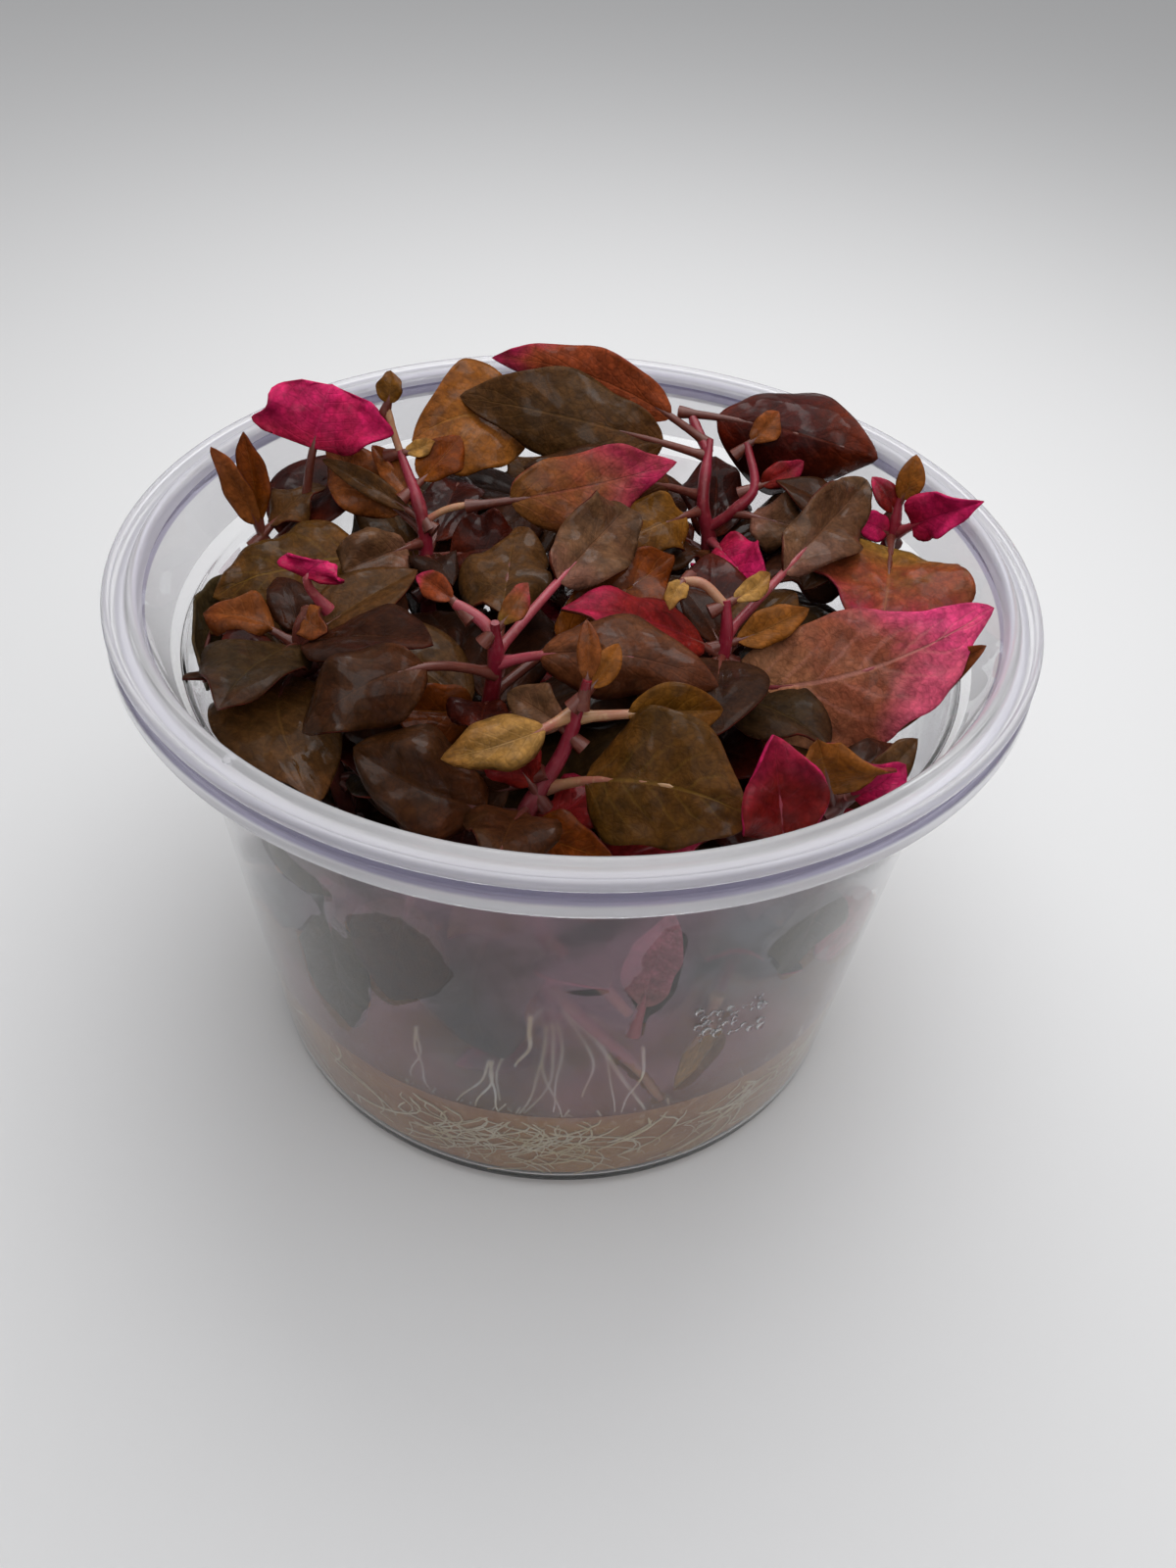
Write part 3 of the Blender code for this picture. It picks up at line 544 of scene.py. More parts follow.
def along_list(stops, share, column):
    """The value at a share of the length, between the stops of a list of (share, value, value)."""
    for low, high in zip(stops, stops[1:]):
        if share <= high[0]:
            part = (share - low[0]) / (high[0] - low[0])
            part = part * part * (3.0 - 2.0 * part)
            return low[column] + (high[column] - low[column]) * part
    return stops[-1][column]


def half_width(cage, look, phase, signed, share, life):
    """The blade's half width on one side, with that side's own unevenness."""
    share = min(max(share, 0.0), 1.0)
    form = blade_share(share) ** (1.0 - look.blunt) * (1.0 - look.pointed * share**3)
    form *= 1.0 - 0.22 * (1.0 - look.blunt) * (1.0 - share) ** 4
    half = 0.5 * cage.width * form * (1.0 + (look.widen - 1.0) * life)
    if look.margins:
        half *= along_list(look.margins, share, 1 if signed < 0 else 2)
    own = phase * 7.0 + (2.6 if signed > 0 else 0.0)
    uneven = 0.09 * math.sin(own + 6.0 * share) + 0.045 * math.sin(3.1 * own + 15.0 * share)
    return half * (1.0 + life * uneven)


def blade_point(cage, look, phase, signed, share, life=1.0):
    """Where the point of the blade lies that is `signed` across and `share` along."""
    t = cage.stalk + (1.0 - cage.stalk) * share
    middle = cage.midrib(t)
    half = half_width(cage, look, phase, signed, share, life)
    turn = math.radians(look.twist) * share * life
    side = cage.side * math.cos(turn) + cage.out * math.sin(turn)
    out = cage.out * math.cos(turn) - cage.side * math.sin(turn)
    across = abs(signed)
    reach = half * signed
    rise = cage.fold * across * half
    rise += 0.45 * look.arch * half * (1.0 - (2.0 * across - 1.0) ** 2) * (1.0 - 0.4 * share)
    rise -= life * look.droop * half * across**2
    rise -= life * look.rolled * half * max(0.0, (across - 0.6) / 0.4) ** 2
    rise -= VEIN_DEPTH * vein_depth(signed, share) * min(1.0, half / (3.0 * MM))
    rise -= 0.10 * MM * math.exp(-((across / 0.07) ** 2)) * (1.0 - share)
    swing = math.sin(math.tau * (look.waves * share + phase + (0.37 if signed > 0 else 0.0)))
    rise += life * look.wave * MM * across**2 * swing * min(1.0, half / (2.0 * MM))
    rise -= life * look.curl * MM * max(0.0, (share - 0.6) / 0.4) ** 2
    spot = middle + side * reach
    crumpled = noise.noise(spot / (4.6 * MM)) + 0.45 * noise.noise(spot / (1.9 * MM))
    margin = 0.35 + 0.65 * across
    rise += life * look.crumple * MM * crumpled * margin * min(1.0, half / (2.0 * MM))
    pull = 0.25 * MM * across * noise.noise(spot / (3.3 * MM) + Vector((9.0, 4.0, 7.0)))
    return spot + out * rise + cage.along * (life * pull)


def applied(thing):
    """The object with its modifiers made real, or a curve made a mesh."""
    bpy.context.view_layer.update()
    graph = bpy.context.evaluated_depsgraph_get()
    mesh = bpy.data.meshes.new_from_object(thing.evaluated_get(graph))
    mesh.name = thing.name
    made = placed(thing.name + "_made", mesh)
    name = thing.name
    bpy.data.objects.remove(thing, do_unlink=True)
    made.name = name
    return made


def blade_sheet(cage, look, phase, fineness, life):
    """The blade as an open sheet."""
    shape = bmesh.new()
    shape.loops.layers.uv.new("leaf")
    along = max(14, round((1.0 - cage.stalk) * cage.length / MM / fineness))
    across = 2 * max(4, round(0.5 * cage.width / MM / fineness))
    bmesh.ops.create_grid(shape, x_segments=across, y_segments=along, size=0.5, calc_uvs=True)
    for vertex in shape.verts:
        share = vertex.co.y + 0.5
        eased = share - 0.10 * math.sin(math.tau * share) / math.tau
        vertex.co = blade_point(cage, look, phase, 2.0 * vertex.co.x, eased, life)
    bmesh.ops.remove_doubles(shape, verts=shape.verts, dist=0.000004)
    return shape


# What stands already: one tree of faces for each stem and blade.
standing = []
calmed = []


def blade(name, cage, look, phase, thickness=BLADE_THICKNESS, fineness=0.5):
    """A closed, thin blade. Its top has the first material and its underside the second."""
    for life in LIVELINESS:
        shape = blade_sheet(cage, look, phase, fineness, life)
        tree = BVHTree.FromBMesh(shape)
        if life == LIVELINESS[-1] or not any(tree.overlap(other) for other in standing):
            break
        shape.free()
    calmed.append(life)
    standing.append(tree)
    made = finished_mesh(name, shape, [finishes[look.top], finishes[look.under]])
    solid = made.modifiers.new("thickness", "SOLIDIFY")
    solid.thickness = thickness
    solid.offset = 0.0
    solid.material_offset = 1
    solid.material_offset_rim = 1
    return applied(made)


def rod(name, points, radii, material, sides=8):
    """A round rod along the points, with a radius for each, as a mesh."""
    curve = bpy.data.curves.new(name, "CURVE")
    curve.dimensions = "3D"
    curve.bevel_depth = 1.0
    curve.bevel_resolution = (sides - 4) // 2
    curve.use_fill_caps = True
    spline = curve.splines.new("POLY")
    spline.points.add(len(points) - 1)
    for point, place, radius in zip(spline.points, points, radii):
        point.co = (*place, 1.0)
        point.radius = radius
    curve.materials.append(material)
    return applied(placed(name, curve))


def tree_of(thing):
    """The faces of a mesh object as a tree for the tests of room."""
    corners = [vertex.co for vertex in thing.data.vertices]
    return BVHTree.FromPolygons(corners, [face.vertices for face in thing.data.polygons])


def joined(name, things):
    """One object from several meshes, with their materials kept."""
    bpy.ops.object.select_all(action="DESELECT")
    for thing in things:
        thing.select_set(True)
    bpy.context.view_layer.objects.active = things[0]
    bpy.ops.object.join()
    made = things[0]
    made.name = name
    made.data.name = name
    return made


def leaf_stalk(name, cage, look):
    """The stalk and the midrib under the blade, from inside the stem nearly to the tip."""
    back = (cage.midrib(0.06) - cage.foot).normalized()
    points = [cage.foot - back * 1.9 * MM, cage.foot - back * 0.7 * MM]
    radii = [0.85 * MM, 0.68 * MM]
    end = cage.stalk + (1.0 - cage.stalk) * 0.8
    for index in range(17):
        share = index / 16
        t = end * share
        blade_part = max(0.0, (t - cage.stalk) / (1.0 - cage.stalk))
        sink = 0.22 * MM if t > cage.stalk else 0.0
        points.append(cage.midrib(t) - cage.out * (sink * min(1.0, blade_part * 6.0) + 0.12 * MM))
        stalk_radius = 0.56 - 0.10 * min(1.0, t / max(cage.stalk, 0.05))
        radii.append((stalk_radius - 0.38 * blade_part) * MM)
    return rod(name, points, radii, finishes[look.stalk])


print("blade and stalk helpers ready")

# %% [markdown]
# ## Stem and stalk skins
#
# The stems are juicy: magenta at the growing tips, red-brown or cream lower down, with paler
# streaks and a waxy shine. A little light goes into them, which subsurface scattering gives.

# %% Stalk and stem finishes

def stem_finish(name, low, high, joint):
    """Juicy stem skin: streaks along it, paler patches, a waxy coat, and painted shade between the
    leaves.
    """
    material, place, shader = new_material(name)
    patches = noise_of(place, 130.0, 3.0)
    grain = noise_of(place, 1400.0, 3.0, 0.6)
    colour = blend(stretch(patches, 0.36, 0.62), low, high)
    colour = blend(stretch(grain, 0.52, 0.74, 0.0, 0.45), colour, joint)
    # Painted shade: in the shade between the leaves, from 34 to 59 mm up, the skin's colour is
    # painted darker.
    height = part_of(place, 2)
    shaded = stretch(height, 0.059, 0.050) * stretch(height, 0.034, 0.044)
    set_inputs(
        shader,
        Base_Color=blend(shaded * 0.7, colour, (0.07, 0.012, 0.012)),
        Roughness=stretch(grain, 0.2, 0.8, 0.30, 0.48),
        Normal=bump_of(grain, 0.4, 0.00015),
        Coat_Weight=0.25,
        Coat_Roughness=0.15,
        Specular_IOR_Level=0.35,
        Subsurface_Weight=0.12,
        Subsurface_Scale=0.0008,
    )
    return material


STEM_COLOURS = {
    "stalk_dark": ((0.15, 0.035, 0.022), (0.10, 0.022, 0.013), (0.20, 0.070, 0.04)),
    "stalk_pink": ((0.36, 0.045, 0.070), (0.24, 0.035, 0.035), (0.45, 0.15, 0.13)),
    "stalk_cream": ((0.42, 0.240, 0.110), (0.34, 0.110, 0.070), (0.52, 0.36, 0.19)),
    "stem": ((0.27, 0.014, 0.035), (0.17, 0.007, 0.014), (0.38, 0.07, 0.08)),
    "stem_brown": ((0.17, 0.050, 0.026), (0.12, 0.020, 0.018), (0.24, 0.11, 0.06)),
    "stem_cream": ((0.42, 0.200, 0.110), (0.30, 0.060, 0.055), (0.50, 0.33, 0.20)),
}
for name, colours in STEM_COLOURS.items():
    finishes[name] = stem_finish(name, *colours)
print("stem and stalk finishes:", len(STEM_COLOURS))

# %% [markdown]
# ## Stems and side shoots
#
# A plantlet's stem rises from the gel and ends in a growing tip. Stems of this plant swell
# where a pair of leaves leaves them. The routes are those of the solids. The stems come before the
# leaves, so that no blade is grown through one.

# %% Stems
# Each plantlet: the skins of its stem and of its side shoots and how thick a shoot is; then the
# routes of the stem and the shoots, and its leaflets with foot, tip, width and colouring.
# Lengths are millimetres.
PLANTLET_ROWS = """
plantlet centre stem stalk_pink 0.7
stem -8 -8 13  -9 -11 30  -8.5 -14 48  -7.3 -15.5 60  -7.3 -16 65.5
shoot -7.3 -15.9 64  -9 -15 65.2  -11.4 -14 66
leaflet -11 -14.2 65.8  -15.5 -10.5 66.5  2.4 ember
leaflet -7.3 -15.8 64.5  -4.5 -12 67.5  2.2 blush
leaflet -8.5 -14 52  -18 -17.6 55  5.5 amber
plantlet front stem stem_cream 0.7
stem 0 -27 13  0.5 -30 30  -2 -29.5 42  -3.6 -28 50  0 -24.6 57  2 -23.4 65
shoot 0.2 -30.4 32  3.5 -35.2 32  9.5 -35.2 24  12.6 -33.4 16.4
shoot -3.3 -28.2 48  -7.8 -32.2 50  -11.4 -34.9 50.6
shoot -1 -29.8 39  4.5 -33.8 36.8  8.2 -35.8 33.6
leaflet 0.1 -28.2 18.5  -9.5 -33.6 20.8  3.4 crimson
leaflet 1.8 -23.6 64  1.5 -19.5 69  2.4 rust
leaflet 1.8 -23.6 63.5  4.6 -19.5 66.5  2.6 gold
leaflet 0.6 -24.2 59  -5.5 -20.5 60.5  4.0 slate
leaflet -2.2 -26.8 53.5  -7.5 -24 58.8  4.4 crimson
leaflet -3.2 -28.2 50.5  5.5 -34.5 53  5.0 amber
plantlet left stem_brown stem_brown 0.7
stem -23 -6 13  -25.5 -7.5 32  -28 -8.5 50  -28.4 -8.6 57  -27.4 -7.8 60
shoot -27.3 -8.1 43.5  -25.6 -20 46.5  -21.9 -30.6 45.4
shoot -28 -8.6 49.5  -30.6 -18 51  -29.6 -25.8 49.6
leaflet -27.6 -8 59  -24.5 -12.5 60.5  3.2 rust
plantlet back_left stem stalk_cream 0.45
stem -15 9 13  -16.5 10 32  -17.6 9.6 50  -17.9 10.2 60  -21 15.2 66
shoot -20.8 15 65.4  -22 16.2 68.5  -22.6 17 71
shoot -17.9 10.2 60  -15.4 10.9 61.4  -12.6 11.5 62
leaflet -22.5 16.8 70.6  -22.2 18.4 74  2.6 brass
leaflet -20.9 15.1 65.8  -17.2 16.4 66.8  1.8 cream
leaflet -18 10.5 60.6  -24.6 17.8 65  3.4 rust
leaflet -19.2 12.4 63  -14.6 18.8 66.4  4.2 amber
leaflet -18 10.3 60.2  -30.2 16.4 63.6  2.8 moss
plantlet far_left stem_brown stalk_pink 0.6
stem -26 9 13  -30 10.5 32  -35.2 11.4 50  -37 11.4 57
shoot -34.4 11.3 47  -33 13.4 54  -32.4 14.9 58.6
leaflet -36.8 11.4 56.2  -41.4 11.6 67  2.6 rust
leaflet -36.9 11.4 56.4  -38.4 14.6 67.5  3.0 amber
plantlet back stem_brown stem_brown 0.7
stem -2 22 13  -3 25 32  -4 28 50  -4 30 60
leaflet -4 29.8 59  1.5 28.5 61.5  3.6 crimson
plantlet back_right stem stem 0.7
stem 11 15 13  13.5 18 32  15.7 20.8 50  14.2 22.4 58  14.6 27.6 63.5
shoot 15.2 21.4 55  18 21.6 57.5  20.2 22.9 60.2  19 27 63.6
shoot 14.5 26.6 62.3  13.2 29 63.6  12.4 31 64.4
leaflet 20.1 22.9 60  25.8 25 62.8  2.6 crimson
leaflet 19 26.8 63.4  22.6 30 66.4  3.0 rust
plantlet right_back stem stem 0.7
stem 25 9 13  29 12 32  34 15.6 50  36 16.4 58  36.4 17.6 63
leaflet 36.3 17.4 62  37.6 19.4 67.6  3.4 gold
leaflet 36.2 17 60.6  33 19 64.6  3.0 crimson
leaflet 36 16.4 58.4  30.6 14.6 61.5  3.2 pink
plantlet right stem stem_cream 0.6
stem 12 -6 13  13.6 -5.5 32  15 -5.8 50  16.2 -5.2 57  15.8 -3.6 61.5
shoot 15.9 -3.8 60.8  13.4 -2.6 62.6  11 -2.2 62.6
leaflet 11.3 -2.2 62.6  9.8 -6.6 61.8  2.0 cream
leaflet 15.8 -3.6 61  20.5 0.5 62.5  2.2 cream
leaflet 16.2 -5.2 57  24.8 -2.4 60.4  3.4 gold
plantlet front_right stem_brown stem 0.7
stem 17 -17 13  20.5 -20 32  25.6 -24.4 48  27.4 -26.6 55.5
shoot 20.3 -19.8 31.6  18.6 -26 33  17.1 -31.2 32
shoot 26.4 -25.4 51.5  24.6 -29.4 51.6  22 -32.4 52.4
leaflet 27.2 -26.4 55  32.2 -26 59.6  4.2 pink
leaflet 27 -26.2 54  34.6 -19.6 57.6  3.2 moss
"""


def points_of(words):
    numbers = [float(word) for word in words]
    return [tuple(numbers[first : first + 3]) for first in range(0, len(numbers), 3)]


PLANTLETS = {}
for row in PLANTLET_ROWS.strip().splitlines():
    kind, *words = row.split()
    if kind == "plantlet":
        name, skin, shoot_skin, thick = words
        spec = {"skins": (skin, shoot_skin, float(thick)), "shoots": [], "leaflets": []}
        PLANTLETS[name] = spec
    elif kind == "stem":
        spec["stem"] = points_of(words)
    elif kind == "shoot":
        spec["shoots"].append(points_of(words))
    else:
        spec["leaflets"].append((*points_of(words[:6]), float(words[6]), words[7]))


def smooth_path(points, pieces=8):
    """Points along a Catmull-Rom curve through the given points, in metres."""
    knots = [Vector(point) * MM for point in points]
    knots = [knots[0] * 2 - knots[1], *knots, knots[-1] * 2 - knots[-2]]
    path = []
    for start in range(1, len(knots) - 2):
        before, here, there, after = knots[start - 1 : start + 3]
        for step in range(pieces):
            t = step / pieces
            ahead_by = (there - before) * t
            bend = (2 * before - 5 * here + 4 * there - after) * t**2
            twist = (3 * here - before - 3 * there + after) * t**3
            path.append(0.5 * (2 * here + ahead_by + bend + twist))
    path.append(knots[-2])
    return path


def stem_radii(path, start, finish_share):
    """A radius for each point: thinner towards the tip, with a swelling every 9 mm."""
    radii = []
    gone = 0.0
    for index, point in enumerate(path):
        if index:
            gone += (point - path[index - 1]).length
        share = index / (len(path) - 1)
        swell = 0.16 * math.exp(-(((gone / (9.0 * MM)) % 1.0 - 0.5) / 0.12) ** 2)
        radii.append(start * (1.0 - finish_share * share**3) * (0.94 + swell))
    return radii


def grow_stems(name):
    """The stem and the side shoots of one plantlet, as rods."""
    spec = PLANTLETS[name]
    skin, shoot_skin, thick = spec["skins"]
    path = smooth_path(spec["stem"])
    rods = [rod("stem_rod", path, stem_radii(path, 1.1 * MM, 0.58), finishes[skin], 12)]
    for route in spec["shoots"]:
        shoot = smooth_path(route, 6)
        radii = stem_radii(shoot, thick * MM, 0.3)
        rods.append(rod("shoot_rod", shoot, radii, finishes[shoot_skin], 10))
    return rods


plantlet_rods = {name: grow_stems(name) for name in PLANTLETS}
standing += [tree_of(frame["nodes"]["cup"]), tree_of(frame["nodes"]["gel"])]
standing += [tree_of(thing) for rods in plantlet_rods.values() for thing in rods]
print("stems and shoots:", sum(len(rods) for rods in plantlet_rods.values()))

# %% [markdown]
# ## The leaves
#
# Each leaf below is named as its solid is, and its look is read off the photograph: which
# colouring it has, and how its blade curls, waves or twists. The blade and its stalk become one
# piece that stands for the leaf's solid.

# %% Leaves
# Uneven outlines: at a share of the blade's length, the width of its two sides.
MARGINS = {
    "hero": (
        (0.0, 0.90, 1.50), (0.13, 0.80, 1.40), (0.30, 0.80, 1.20), (0.50, 0.82, 1.05),
        (0.65, 0.80, 0.95), (0.80, 0.72, 0.78), (0.92, 0.66, 0.50), (1.0, 0.60, 0.45),
    ),
    "wide_foot": ((0.0, 1.25, 1.25), (0.3, 1.1, 1.1), (1.0, 0.9, 0.9)),
    "magenta": ((0.0, 1.5, 1.1), (0.4, 0.9, 1.05), (0.8, 0.9, 1.25), (1.0, 0.8, 1.6)),
}
# The leaves that lie flat against the wall have this in common.
FLAT = {"arch": 0.05, "widen": 1.25, "crumple": 0.3}
# Each leaf: the colouring of its top, and where it differs from a plain look.
LOOK_ROWS = """
right_leaf_1 hero under=under arch=0.08 wave=0.5 waves=1.3 curl=1.0 stalk=stalk_pink widen=1.0 \
    crumple=0.5 pointed=0.2 margins=hero
centre_leaf_1 plum arch=0.3 wave=0.3 droop=0.25 widen=1.2 stalk=stalk_pink pointed=0.3
centre_leaf_2 slate arch=0.22 blunt=0.25 widen=1.15 stalk=stalk_pink pointed=0.0
centre_leaf_3 umber arch=0.26 twist=-12.0 widen=1.2 pointed=0.35
front_leaf_1 olive arch=0.12 wave=0.6 curl=-0.5 stalk=stalk_cream crumple=0.8 pointed=0.3
back_left_leaf_1 rose under=under arch=0.12 widen=1.1 pointed=0.6 margins=wide_foot
back_right_leaf_1 moss arch=0.16 wave=0.6 crumple=0.6 widen=1.2
back_right_leaf_2 ember under=under arch=0.14 wave=0.6 pointed=0.6 widen=1.15
back_right_leaf_3 mahogany arch=0.12 wave=1.0 droop=0.4 rolled=0.3 crumple=0.9 curl=2.0 twist=-14.0
front_leaf_2 cream arch=0.3 wave=0.5 rolled=0.4 stalk=stalk_cream
front_leaf_3 brass arch=0.25 wave=0.5 stalk=stalk_cream pointed=0.3
left_leaf_1 pink under=pink arch=0.12 stalk=stalk_pink pointed=0.3 twist=12.0
far_left_leaf_1 pink under=pink arch=0.08 blunt=0.35 pointed=0.0 crumple=1.1 wave=1.0 \
    margins=magenta
right_back_leaf_1 pink under=pink arch=0.1 stalk=stalk_pink pointed=0.7 margins=wide_foot
right_back_leaf_2 blush under=under arch=0.12 wave=0.8 blunt=0.25 twist=-8.0
right_leaf_2 slate arch=0.2 stalk=stalk_pink pointed=0.3
back_left_leaf_2 slate arch=0.2 wave=0.7 crumple=0.8 rolled=0.4 twist=15.0
back_left_leaf_3 olive arch=0.16 wave=0.9 crumple=1.0 rolled=0.25 widen=1.15
left_leaf_2 moss arch=0.16 wave=0.9 curl=0.8 crumple=1.0 rolled=0.2 widen=1.15
front_leaf_4 umber arch=0.3 wave=0.6 rolled=0.4 crumple=0.8 twist=10.0
front_leaf_5 dusk arch=0.3 wave=0.8 rolled=0.6 crumple=0.9 twist=25.0 blunt=0.2 widen=1.2
front_right_leaf_1 gold under=under arch=0.12 pointed=0.7 margins=wide_foot
front_right_leaf_2 crimson under=pink arch=0.12 stalk=stalk_pink twist=-10.0
centre_leaf_4 moss arch=0.2 blunt=0.1 twist=14.0 droop=0.2 crumple=0.8
centre_leaf_5 amber arch=0.14 wave=0.6
back_right_leaf_4 brass arch=0.16 pointed=0.3 twist=-10.0
back_right_leaf_5 umber arch=0.2 wave=0.5 droop=0.2
back_leaf_1 gold arch=0.12 wave=0.5 crumple=0.6
left_leaf_3 rust arch=0.2 rolled=0.5 twist=18.0
left_leaf_4 maroon arch=0.2 wave=0.7 crumple=0.8 twist=-16.0
back_right_leaf_6 slate arch=0.25 wave=0.8 droop=0.3 crumple=0.8 twist=22.0
back_right_leaf_7 pink under=pink arch=0.12 stalk=stalk_pink crumple=0.6
right_leaf_3 rust under=under arch=0.2 curl=-2.0 rolled=0.4 twist=16.0
back_left_leaf_4 rust under=under arch=0.2 wave=0.7 twist=-14.0
back_left_leaf_5 maroon arch=0.2 wave=0.7 twist=10.0
right_leaf_4 maroon arch=0.2 wave=0.7 twist=10.0
left_leaf_5 dusk arch=0.25 wave=0.6 twist=28.0 rolled=0.4
far_left_leaf_2 wall_green flat under=wall_green wave=0.2
left_leaf_6 wall_green flat under=wall_green wave=0.2
front_leaf_6 wall_brown flat under=wall_brown wave=0.2
left_leaf_7 wall_green flat under=wall_green wave=0.2
front_leaf_7 wall_green flat under=wall_green wave=0.3 blunt=0.25
front_leaf_8 dusty flat under=dusty wave=0.2 stalk=stalk_pink
front_right_leaf_3 wall_green flat under=wall_green wave=0.3
front_right_leaf_4 dusty flat under=dusty wave=0.3
front_right_leaf_5 cream under=cream arch=0.05 wave=0.2 stalk=stalk_cream crumple=0.3
back_leaf_2 shade_green arch=0.16 wave=0.8
back_leaf_3 shade arch=0.16 wave=0.8
"""


def read_look(top, words):
    own = {}
    for word in words:
        key, _, value = word.partition("=")
        if key == "flat":
            own.update(FLAT)
        elif key == "margins":
            own[key] = MARGINS[value]
        else:
            own[key] = value if key in ("under", "stalk") else float(value)
    return look_of(top, **own)


LOOKS = {}
for row in LOOK_ROWS.strip().splitlines():
    name, top, *words = row.split()
    LOOKS[name] = read_look(top, words)


def grow_leaf(name, number):
    cage = cages[name]
    look = LOOKS[name]
    phase = 0.61803 * number
    look.twist = look.twist or 11.0 * math.sin(2.4 * number)
    pieces = [blade(name + "_blade", cage, look, phase), leaf_stalk(name + "_stalk", cage, look)]
    made = joined(name + "_grown", pieces)
    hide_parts(name)
    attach(made, "root")
    return made


leaves = [grow_leaf(name, number) for number, name in enumerate(LOOKS)]
print("leaves:", len(leaves), "faces:", sum(len(leaf.data.polygons) for leaf in leaves))
print("calmed leaves:", sum(life < 1.0 for life in calmed), "flat:", calmed.count(0.0))

# %% [markdown]
# ## Small leaves, and the plantlets' pieces joined
#
# The growing tips hold tiny leaflets. Further down, small leaves stand in crossed pairs. How long
# each of them grew is measured on the solid, at its tip. Between the pairs, where the solids leave
# room, filling leaves stand five to a level. The longest length whose flat sheet crosses nothing is
# taken, and where none fits the place stays empty. They fill the cup's inside with dark, crowded
# foliage and show through the wall. All that grew on a stem is one piece with it.

# %% Plantlets
LOWER_PAIRS = (25.0, 37.0, 48.0, 54.5)
LOWER_LENGTHS = (23.0, 20.0, 17.0, 14.0, 11.5, 9.0)
LOWER_WIDTH_SHARE = 0.72
FILL_WIDTH_SHARE = 0.58
UPWARD = Vector((0.0, 0.0, 1.0))
OPEN_PLANTLETS = ("front", "front_right", "left", "back", "back_right")
LOWER_COLOURS = ("shade", "shade_green", "shade", "maroon", "dusk", "shade_green", "crimson")
UPPER_COLOURS = ("shade", "umber", "maroon", "moss")
# Between the pairs: heights to try (one more for the plantlets at the sides), lengths to try at
# each, and colourings.
FILL_HEIGHTS = (30.5, 42.5, 51.5)
SIDE_HEIGHTS = (30.5, 42.5, 51.5, 56.0)
SIDE_PLANTLETS = ("far_left", "left", "back_left", "right", "right_back")
FILL_LENGTHS = (19.0, 15.5, 12.5, 9.5, 7.5)
FILL_COLOURS = ("maroon", "shade", "umber", "crimson", "shade_green", "dusk", "shade",
                "maroon", "moss")
FILLING_LOOK = {"arch": 0.2, "wave": 0.6, "crumple": 0.5, "droop": 0.15, "curl": 0.8, "widen": 1.0}


def small_cage(foot, tip, width, face, bow):
    """A cage for a small leaf that is part of its stem's solid."""
    cage = Cage(foot, tip)
    cage.out = (face - face.dot(cage.along) * cage.along).normalized()
    cage.side = cage.along.cross(cage.out)
    cage.bend = cage.out * bow + cage.side * 0.3 * MM
    cage.fold = 0.2
    cage.stalk = 0.13
    cage.width = width
    return cage


def lower_leaves(name, number, path):
    """The crossed pairs on the lower stem: (cage, colouring) for each one that the solid has."""
    node = frame["nodes"][name + "_stem"]
    corners = [vertex.co for vertex in node.data.vertices]
    pairs = LOWER_PAIRS[:-1] if name in OPEN_PLANTLETS else LOWER_PAIRS
    found = []
    for pair, height in enumerate(pairs):
        foot = min(path, key=lambda point: abs(point.z - height * MM))
        colours = UPPER_COLOURS if pair == 3 else LOWER_COLOURS
        for half in (0.0, 180.0):
            heading = math.radians(37.0 * number + 90.0 * pair + half)
            away = Vector((math.cos(heading), math.sin(heading), 0.35)).normalized()
            for length in LOWER_LENGTHS:
                tip = foot + away * length * MM
                if min((corner - tip).length for corner in corners) < 0.05 * MM:
                    width = LOWER_WIDTH_SHARE * length * MM
                    colour = colours[(number + 2 * pair + (half > 0)) % len(colours)]
                    found.append((small_cage(foot, tip, width, UPWARD, 0.6 * MM), colour))
                    break
    return found


def small_leaf(cage, look, phase, fineness):
    made = blade("small_blade", cage, look, phase, SMALL_THICKNESS, fineness)
    return [made, leaf_stalk("small_stalk", cage, look)]


def own_leaves(name, number, path):
    """The leaflets and lower leaves that the plantlet's solid has, with their stalks."""
    face = Vector((0.0, -0.75, 0.65))
    pieces = []
    for index, (foot, tip, width, colour) in enumerate(PLANTLETS[name]["leaflets"]):
        cage = small_cage(Vector(foot) * MM, Vector(tip) * MM, width * MM, face, 0.6 * MM)
        look = look_of(colour, arch=0.2, wave=0.3, crumple=0.25, pointed=0.3, widen=1.15)
        pieces += small_leaf(cage, look, 0.37 * index, 0.5)
    for index, (cage, colour) in enumerate(lower_leaves(name, number, path)):
        under = "under" if (index + number) % 2 else "under_dark"
        twist = 14.0 * math.sin(2.4 * index + number)
        look = look_of(colour, under=under, arch=0.2, wave=0.8, crumple=0.6, droop=0.2, curl=1.0,
                       twist=twist, widen=1.05)
        pieces += small_leaf(cage, look, 0.37 * index, 0.75)
    return pieces


